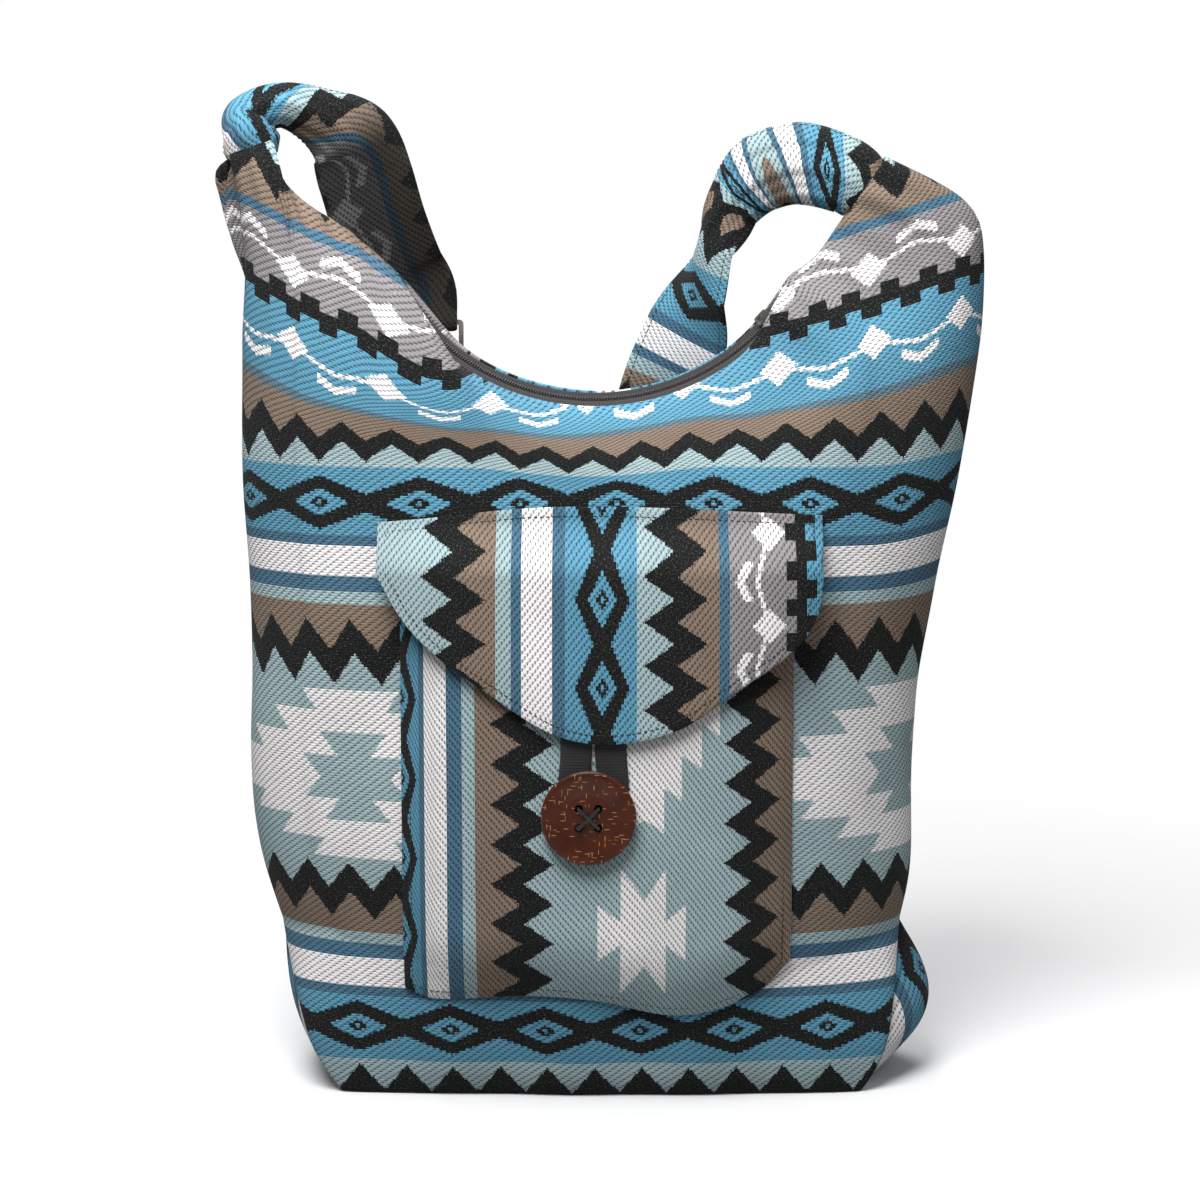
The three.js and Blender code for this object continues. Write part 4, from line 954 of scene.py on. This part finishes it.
class WOVENBAG_OT_loop(bpy.types.Operator):
    """Black satin tape loop that holds the button."""

    bl_idname = "woven_bag.loop"
    bl_label = "Button loop"

    def execute(self, context):
        straight, bend = LOOP_TOP - LOOP_BEND_Z, np.pi * (LOOP_SLIT + LOOP_STRAND) / 2
        u, v = shares(161, 21)
        run = u * (2 * straight + bend)
        radius = LOOP_SLIT / 2 + LOOP_STRAND * v
        angle = np.clip((run - straight) / bend, 0, 1) * np.pi
        up = LOOP_BEND_Z + np.maximum(straight - run, 0) + np.maximum(run - straight - bend, 0)
        x = LOOP_X - (radius - 1.3 * smooth(up, 176, 196)) * np.cos(angle)
        z = up - radius * np.sin(angle)
        grid = np.stack([x, pocket_face(x, z) - LAYER_GAP, z], -1)
        obj = make_sheet("loop_tape_cloth", grid, -LOOP_TAPE, 0, np.stack([run, v * LOOP_STRAND], -1), 0.6)
        satin = tape_material("satin_tape", colours().lining, 0.8, 0.55)
        finish_piece(obj, satin, "loop_tape", "button_loop")
        return {"FINISHED"}


class WOVENBAG_OT_button(bpy.types.Operator):
    """Coconut button and the thread that holds it: the frame's own shapes in finished materials."""

    bl_idname = "woven_bag.button"
    bl_label = "Button"

    def execute(self, context):
        dress("button", coconut_material())
        dress("button_thread", thread_material())
        return {"FINISHED"}


def zip_point(angle, y, lift):
    radius = MOUTH_RADIUS - lift
    return np.stack([MOUTH_X + radius * np.sin(angle), y + 0 * angle, MOUTH_Z - radius * np.cos(angle)], -1)


class WOVENBAG_OT_zip(bpy.types.Operator):
    """Ribbed zip tapes and the two rows of coiled teeth, closed; slider and pull in satin nickel."""

    bl_idname = "woven_bag.zip"
    bl_label = "Zip"

    def execute(self, context):
        grey, (pitch,) = colours().zip_tape, lengths("tooth")
        tape = tape_material("ribbed_tape", grey, 1.4)
        wire_radius, ring = 0.42, (np.arange(8) * np.pi / 4)[None, :, None]
        nylon = new_material("zip_coil", Roughness=0.42, Base_Color=[c * 0.8 for c in grey])[0]
        flat = TEETH_SLOT + TEETH_WIDTH + 2 * ZIP_EASE + SLIDER_FLANGE
        u, w = shares(181, 17)
        angle = lerp(-ZIP_ANGLE, ZIP_ANGLE, u)
        for side, name in ((-1, "front"), (1, "back")):
            edge = np.maximum(rim_gap(angle) - TAPE_EDGE, flat + 0.4)
            rim = rim_point(side, angle)
            lift = MOUTH_RADIUS - np.hypot(rim[..., 0] - MOUTH_X, rim[..., 1] - MOUTH_Z) - TAPE
            y = np.where(w < 0.5, lerp(TEETH_SLOT, flat, 2 * w), lerp(flat, edge, 2 * w - 1))
            grid = zip_point(angle, side * y, smooth(w, 0.5, 1) * lift)
            near = unit_normals(grid)[8, 90]
            ends = (0, TAPE) if near[2] < 0 else (-TAPE, 0)
            run = angle * MOUTH_RADIUS
            obj = make_sheet(f"zip_tape_{name}_cloth", grid, *ends, np.stack([run, y], -1), 0.3)
            finish_piece(obj, tape, "zip_tape", f"zip_tape_{name}")
            count = int(2 * ZIP_ANGLE * MOUTH_RADIUS / pitch)
            turns = np.linspace(-ZIP_ANGLE, ZIP_ANGLE, count * 6)
            phase = np.arange(count * 6) / 6 * 2 * np.pi
            high = ZIP_EASE + TEETH_HEIGHT * (0.45 + 0.3 * np.sin(phase))
            wide = TEETH_SLOT + TEETH_WIDTH * (0.5 + 0.33 * np.cos(phase))
            centre = zip_point(turns, side * wide, high)
            way = unit(np.gradient(centre, axis=0))
            first = unit(np.cross(way, np.array([0, 1.0, 0])))
            second = np.cross(way, first)
            wire = wire_radius * (np.cos(ring) * first[:, None] + np.sin(ring) * second[:, None])
            points = (centre[:, None] + wire).reshape(-1, 3)
            a = np.arange(len(turns) - 1)[:, None] * 8
            k = np.arange(8)[None, :]
            quads = np.stack([a + k, a + (k + 1) % 8, a + 8 + (k + 1) % 8, a + 8 + k], -1).reshape(-1, 4)
            fan = np.array([(0, 1, 2, 3), (0, 3, 4, 5), (0, 5, 6, 7)])
            quads = np.concatenate([quads, fan[:, ::-1], fan + len(points) - 8])
            coil = make_mesh(f"zip_coil_{name}", points, quads, crisp=60)
            finish_piece(coil, nylon, "zip_teeth", f"zip_teeth_{name}")
        metal = metal_material("zip_nickel", 0.75)
        dress("zip_slider", metal)
        dress("zip_pull", metal)
        return {"FINISHED"}


def centripetal(points, t):
    """Centripetal cubic through the points: knots a square root of the distance apart, ends mirrored."""
    p = np.asarray(points, float)
    p = np.concatenate([[2 * p[0] - p[1]], p, [2 * p[-1] - p[-2]]])
    spans = len(p) - 3
    s = np.clip(t, 0, 1) * spans
    k = np.minimum(s.astype(int), spans - 1)
    w = (s - k)[:, None]
    x0, x1, x2, x3 = (p[k + i] for i in range(4))
    d0, d1, d2 = (np.sqrt(np.linalg.norm(b - a, axis=1))[:, None] for a, b in ((x0, x1), (x1, x2), (x2, x3)))
    a = ((x1 - x0) / d0 - (x2 - x0) / (d0 + d1) + (x2 - x1) / d1) * d1
    b = ((x2 - x1) / d1 - (x3 - x1) / (d1 + d2) + (x3 - x2) / d2) * d1
    return x1 + a * w + (-3 * x1 + 3 * x2 - 2 * a - b) * w**2 + (2 * x1 - 2 * x2 + a + b) * w**3


def strap_grid(stations, across, per_span):
    """A ribbon along stations of place, face, roll, width share and gather; rolled parts are arcs."""
    spans = len(stations) - 1
    full = [(*s, *(1, 0)[len(s) - 3:]) if len(s) < 5 else s for s in stations]
    t = np.linspace(0, 1, spans * per_span + 1)
    along = t * spans
    place = centripetal([s[0] for s in full], t)
    way = unit(np.gradient(place, axis=0))
    knots = np.arange(spans + 1)
    face = np.stack([np.interp(along, knots, [s[1][i] for s in full]) for i in range(3)], -1)
    roll, share, gather = (np.interp(along, knots, [s[i] for s in full]) for i in (2, 3, 4))
    wide = unit(np.cross(face, way))
    face = np.cross(way, wide)
    spread = np.linspace(-1, 1, across)[None, :]
    half = STRAP_WIDTH / 2 * share[:, None]
    bend = np.maximum(roll, 1e-3)[:, None] * STRAP_ROLL
    radius = 2 * half / bend
    sag = radius * (np.sin(bend / 2) / (bend / 2) - np.cos(spread * bend / 2))
    ripple = gather[:, None] * (np.cos(3 * np.pi * spread) + 0.5 * np.sin(7 * np.pi * spread))
    side = (radius * np.sin(spread * bend / 2))[..., None] * wide[:, None]
    return place[:, None] + side + (ripple - sag)[..., None] * face[:, None], run_length(place), along


def horn_end(tip, reach):
    middle = (tip[0] + tip[1]) / 2
    line = unit(tip[1] - tip[0])
    return (middle[0] - line[1] * reach, 0, middle[1] + line[0] * reach)


def round_bar(z, over, from_front):
    """Stations round a bar that runs across the strap: a half circle, under it or over it."""
    angle = np.arange(5) / 4 * np.pi
    y, up = (-1 if from_front else 1) * np.cos(angle), (1 if over else -1) * np.sin(angle)
    return [((RING_X, RING_Y + STRAP_BEND * a, z + STRAP_BEND * b), (0, a, b), 0) for a, b in zip(y, up)]


RING_LOWER = RING_Z - RING_HEIGHT - WIRE
ADJUSTER_Z = RING_Z - ADJUSTER_DROP
SEWN = STRAP_CLOTH + LAYER_GAP - STRAP_BEND

SHORT_STRAP = [
    (horn_end(LEFT_TIP, 0.7), FRONT, 0.62, 0.9), (horn_end(LEFT_TIP, 8), FRONT, 0.75, 0.9, 0.4),
    ((-189, 8, 521), FRONT, 0.9, 0.95, 0.7), ((-171, 16, 528), FRONT, 0.95, 1, 0.8),
    ((-151, 24, 521), FRONT, 0.7, 1, 0.7), ((-135, 30, 509), FRONT, 0.3, 1, 0.4),
    ((-128, 35, 490), FRONT, 0.05, 1), ((-121, 43, 464), FRONT, 0, 1), ((-112, 54, 438), FRONT, 0, 1),
    ((RING_X, RING_Y - STRAP_BEND - 1, RING_Z + 16), FRONT, 0), *round_bar(RING_Z, False, True),
    ((RING_X, RING_Y + SEWN, RING_Z + 9), BACK, 0), ((RING_X, RING_Y + SEWN - 1, RING_Z + 18), BACK, 0),
]
LONG_STRAP = [
    (horn_end(RIGHT_TIP, 0.7), FRONT, 0.5, 0.92), (horn_end(RIGHT_TIP, 10), FRONT, 0.45, 0.95, 0.6),
    ((106, 9, 497), FRONT, 0.4, 1, 0.7), ((84, 15, 490), FRONT, 0.45, 1, 0.7),
    ((69, 22, 475), (-0.6, -1, 0), 0.6, 0.9, 0.6), ((60, 28, 455), (-1, -0.2, 0), 0.5, 0.88, 0.4),
    ((54, 35, 430), (-1, -0.45, 0), 0.15, 1), ((48, 44, 405), (-0.6, -1, 0), 0.05, 1),
    ((37, 57, 370), (-0.1, -1, 0), 0, 1), ((25, 72, 320), FRONT, 0), ((18, 84, 260), FRONT, 0),
    ((22, 92, 190), (0.4, -1, 0), 0), ((30, 96, 135), (1, -0.7, 0), 0), ((36, 98, 95), (1, 0, 0), 0),
    ((24, 99, 66), (0.7, 0, -0.7), 0), ((-2, 99, 54), (0, 0, -1), 0), ((-28, 99, 66), (-0.7, 0, -0.7), 0),
    ((-40, 98, 95), (-1, 0, 0), 0), ((-40, 96, 135), (-1, 0.7, 0), 0), ((-48, 92, 190), (-0.4, 1, 0), 0),
    ((-74, 82, 250), BACK, 0), ((-98, 68, 298), BACK, 0),
    ((RING_X, RING_Y - 5.6, ADJUSTER_Z - ADJUSTER_WINDOW - WIRE - 2), BACK, 0),
    ((RING_X, RING_Y + 1.6, ADJUSTER_Z - 8.2), BACK, 0),
    ((RING_X, RING_Y + STRAP_BEND + STRAP_CLOTH + 0.6, ADJUSTER_Z), BACK, 0),
    ((RING_X, RING_Y + STRAP_BEND + 1.5, ADJUSTER_Z + ADJUSTER_WINDOW + WIRE), BACK, 0),
    *round_bar(RING_LOWER, True, False),
    ((RING_X, RING_Y - STRAP_BEND, (RING_LOWER + ADJUSTER_Z) / 2), FRONT, 0),
    *round_bar(ADJUSTER_Z, False, True),
    ((RING_X, RING_Y + SEWN, ADJUSTER_Z + 9), BACK, 0), ((RING_X, RING_Y + SEWN, ADJUSTER_Z + 12), BACK, 0),
]


class WOVENBAG_OT_strap(bpy.types.Operator):
    """Shoulder strap in two parts with stitched edges and one face painted near black as shade; ring and
    adjuster in nickel.
    """

    bl_idname = "woven_bag.strap"
    bl_label = "Strap"

    def execute(self, context):
        for name, stations, turned, tip, reach in (("strap_short", SHORT_STRAP, (5.4, 6.4), LEFT_TIP, -7),
                                                   ("strap_long", LONG_STRAP, (98, 99), RIGHT_TIP, -9)):
            inside = (horn_end(tip, reach), FRONT, 0.6, 0.62, 0)
            grid, run, along = strap_grid([inside, *stations], 41, 14)
            spread = np.linspace(0, 1, 41)[None, :] * STRAP_WIDTH
            run = (run + reach)[:, None]
            # Place of the pattern on each strap; folded is the part of V that the weave leaves out
            if name == "strap_short":
                u, v, folded = run + 0 * spread, 262 + spread, 95 * (1 - smooth(run, -10, 100))
            else:
                u, v = spread - STRAP_WIDTH / 2 + 0 * run, 220 + run
                folded = (101 + 0.85 * run) * (1 - smooth(run, 50, 92)) + 0.9 * u * (1 - smooth(run, 5, 85))
            slip = np.broadcast_to(folded, grid.shape[:2])
            uv = np.stack(np.broadcast_arrays(u, v + slip), -1)
            obj = lay_woven(name + "_cloth", name, 1, grid, -STRAP_CLOTH / 2, STRAP_CLOTH / 2, uv, 0.5)
            # Painted shade: the underside shade attribute darkens one face of each strap to near black; on
            # the short strap the faces swap at its twist, the stations in turned.
            front = np.broadcast_to(smooth(along, *turned)[:, None], grid.shape[:2]).ravel()
            for key, value in (("underside_shade", [front, 1 - front]), ("slip", [slip.ravel()] * 2)):
                layer = obj.data.attributes.new(key, "FLOAT", "POINT")
                layer.data.foreach_set("value", np.concatenate(value).astype(np.float32))
            normal = unit_normals(grid)
            paths, out = [], []
            for column in (3, 37):
                for way in (-1, 1):
                    paths.append(grid[:, column] + normal[:, column] * way * STRAP_CLOTH / 2)
                    out.append(normal[:, column] * way)
            sew(name + "_stitching", paths, out)
        metal = metal_material("strap_nickel", 1.0)
        dress("strap_ring", metal)
        dress("strap_adjuster", metal)
        return {"FINISHED"}


CAMERA_HEIGHT, CAMERA_DISTANCE, CAMERA_RISE, CAMERA_LENS = 0.262, 1.58, np.radians(9), 87.0
# Name, place, target, size in metres and power in watts
LAMPS = [("key", (-0.25, -0.66, 1.25), (0, 0, 0.45), 0.75, 22),
         ("fill", (0.9, -0.9, 1.15), (0, 0, 0.4), 0.9, 3),
         ("top", (0, 0.1, 1.6), (0, 0, 0.3), 1.3, 10),
         ("rim", (-0.3, 0.9, 1.3), (0, 0, 0.35), 1.0, 7)]
WORLD_STRENGTH, FLOOR_BOUNCE, FLOOR_EDGE, FLOOR_FADE = 0.17, 0.35, 0.75, 2.6


def add_light(name, place, target, size, power):
    data = bpy.data.lights.new(name, "AREA")
    data.shape, data.size, data.energy = "DISK", size, power
    obj = bpy.data.objects.new(name, data)
    bpy.context.scene.collection.objects.link(obj)
    obj.location = place
    obj.rotation_euler = (Vector(target) - Vector(place)).to_track_quat("-Z", "Y").to_euler()
    return obj


class WOVENBAG_OT_stage(bpy.types.Operator):
    """White studio: a pale floor that fades out, soft lamps, a white world and the camera."""

    bl_idname = "woven_bag.stage"
    bl_label = "Stage"

    def execute(self, context):
        scene = bpy.context.scene
        mesh = bpy.data.meshes.new("floor")
        mesh.from_pydata([(-3, -3, 0), (3, -3, 0), (3, 3, 0), (-3, 3, 0)], [], [(0, 1, 2, 3)])
        floor = bpy.data.objects.new("floor", mesh)
        scene.collection.objects.link(floor)
        floor.location.z = -0.0006
        material, tree, shader = new_material("studio_floor", Roughness=0.8)
        rays = tree.nodes.new("ShaderNodeLightPath").outputs
        seen = largest(Net(tree, rays["Is Camera Ray"]), Net(tree, rays["Is Glossy Ray"]))
        pale = colours().floor
        far = add_node(tree, "VectorMath", Vector=tree.nodes.new("ShaderNodeTexCoord").outputs["Object"])
        far.operation = "LENGTH"
        fade = (Net(tree, far.outputs["Value"]) * -1 + FLOOR_EDGE) * FLOOR_FADE
        feed_all(tree, shader, {"Base Color": mix(tree, seen, [c * FLOOR_BOUNCE for c in pale], pale),
                                "Alpha": fade.clamped()})
        floor.data.materials.append(material)
        world = bpy.data.worlds.new("studio")
        scene.world = world
        world.use_nodes = True
        tree = world.node_tree
        tree.nodes.clear()
        light = add_node(tree, "Background", Color=(0.97, 0.98, 1), Strength=WORLD_STRENGTH)
        white = add_node(tree, "Background", Color=(1, 1, 1), Strength=1.0)
        path = tree.nodes.new("ShaderNodeLightPath")
        blend = add_node(tree, "MixShader", Fac=path.outputs["Is Camera Ray"])
        for index, sky in ((1, light), (2, white)):
            feed(tree, blend.inputs[index], sky.outputs[0])
        add_node(tree, "OutputWorld", Surface=blend.outputs[0])
        lamps = [add_light(*lamp) for lamp in LAMPS]
        data = bpy.data.cameras.new("camera")
        data.lens, data.sensor_width = CAMERA_LENS, 36
        camera = bpy.data.objects.new("camera", data)
        scene.collection.objects.link(camera)
        back = Vector((0, -np.cos(CAMERA_RISE), np.sin(CAMERA_RISE)))
        camera.location = Vector((0, 0, CAMERA_HEIGHT)) + back * CAMERA_DISTANCE
        camera.rotation_euler = (-back).to_track_quat("-Z", "Y").to_euler()
        scene.camera = camera
        scene.view_settings.view_transform = "Standard"
        return {"FINISHED"}


OPERATORS = (WOVENBAG_OT_panels, WOVENBAG_OT_gusset, WOVENBAG_OT_linings, WOVENBAG_OT_pocket,
             WOVENBAG_OT_flap, WOVENBAG_OT_loop, WOVENBAG_OT_button, WOVENBAG_OT_zip, WOVENBAG_OT_strap,
             WOVENBAG_OT_stage)


class WOVENBAG_PT_panel(bpy.types.Panel):
    """Sizes, colours and the steps that build the bag."""

    bl_idname = "WOVENBAG_PT_panel"
    bl_label = "Woven Bag"
    bl_space_type = "VIEW_3D"
    bl_region_type = "UI"
    bl_category = "Woven Bag"

    def draw(self, context):
        for group_name, kind in (("woven_bag_sizes", WovenBagSizes), ("woven_bag_colours", WovenBagColours)):
            column = self.layout.column(align=True)
            for key in kind.__annotations__:
                column.prop(getattr(context.scene, group_name), key)
        column = self.layout.column(align=True)
        for operator in OPERATORS:
            column.operator(operator.bl_idname)


CLASSES = (WovenBagSizes, WovenBagColours, *OPERATORS, WOVENBAG_PT_panel)


def register():
    for item in CLASSES:
        bpy.utils.register_class(item)
    bpy.types.Scene.woven_bag_sizes = bpy.props.PointerProperty(type=WovenBagSizes)
    bpy.types.Scene.woven_bag_colours = bpy.props.PointerProperty(type=WovenBagColours)


def unregister():
    del bpy.types.Scene.woven_bag_sizes
    del bpy.types.Scene.woven_bag_colours
    for item in reversed(CLASSES):
        bpy.utils.unregister_class(item)


def main():
    register()
    for operator in OPERATORS:
        area, name = operator.bl_idname.split(".")
        getattr(getattr(bpy.ops, area), name)()


if __name__ == "__main__":
    main()
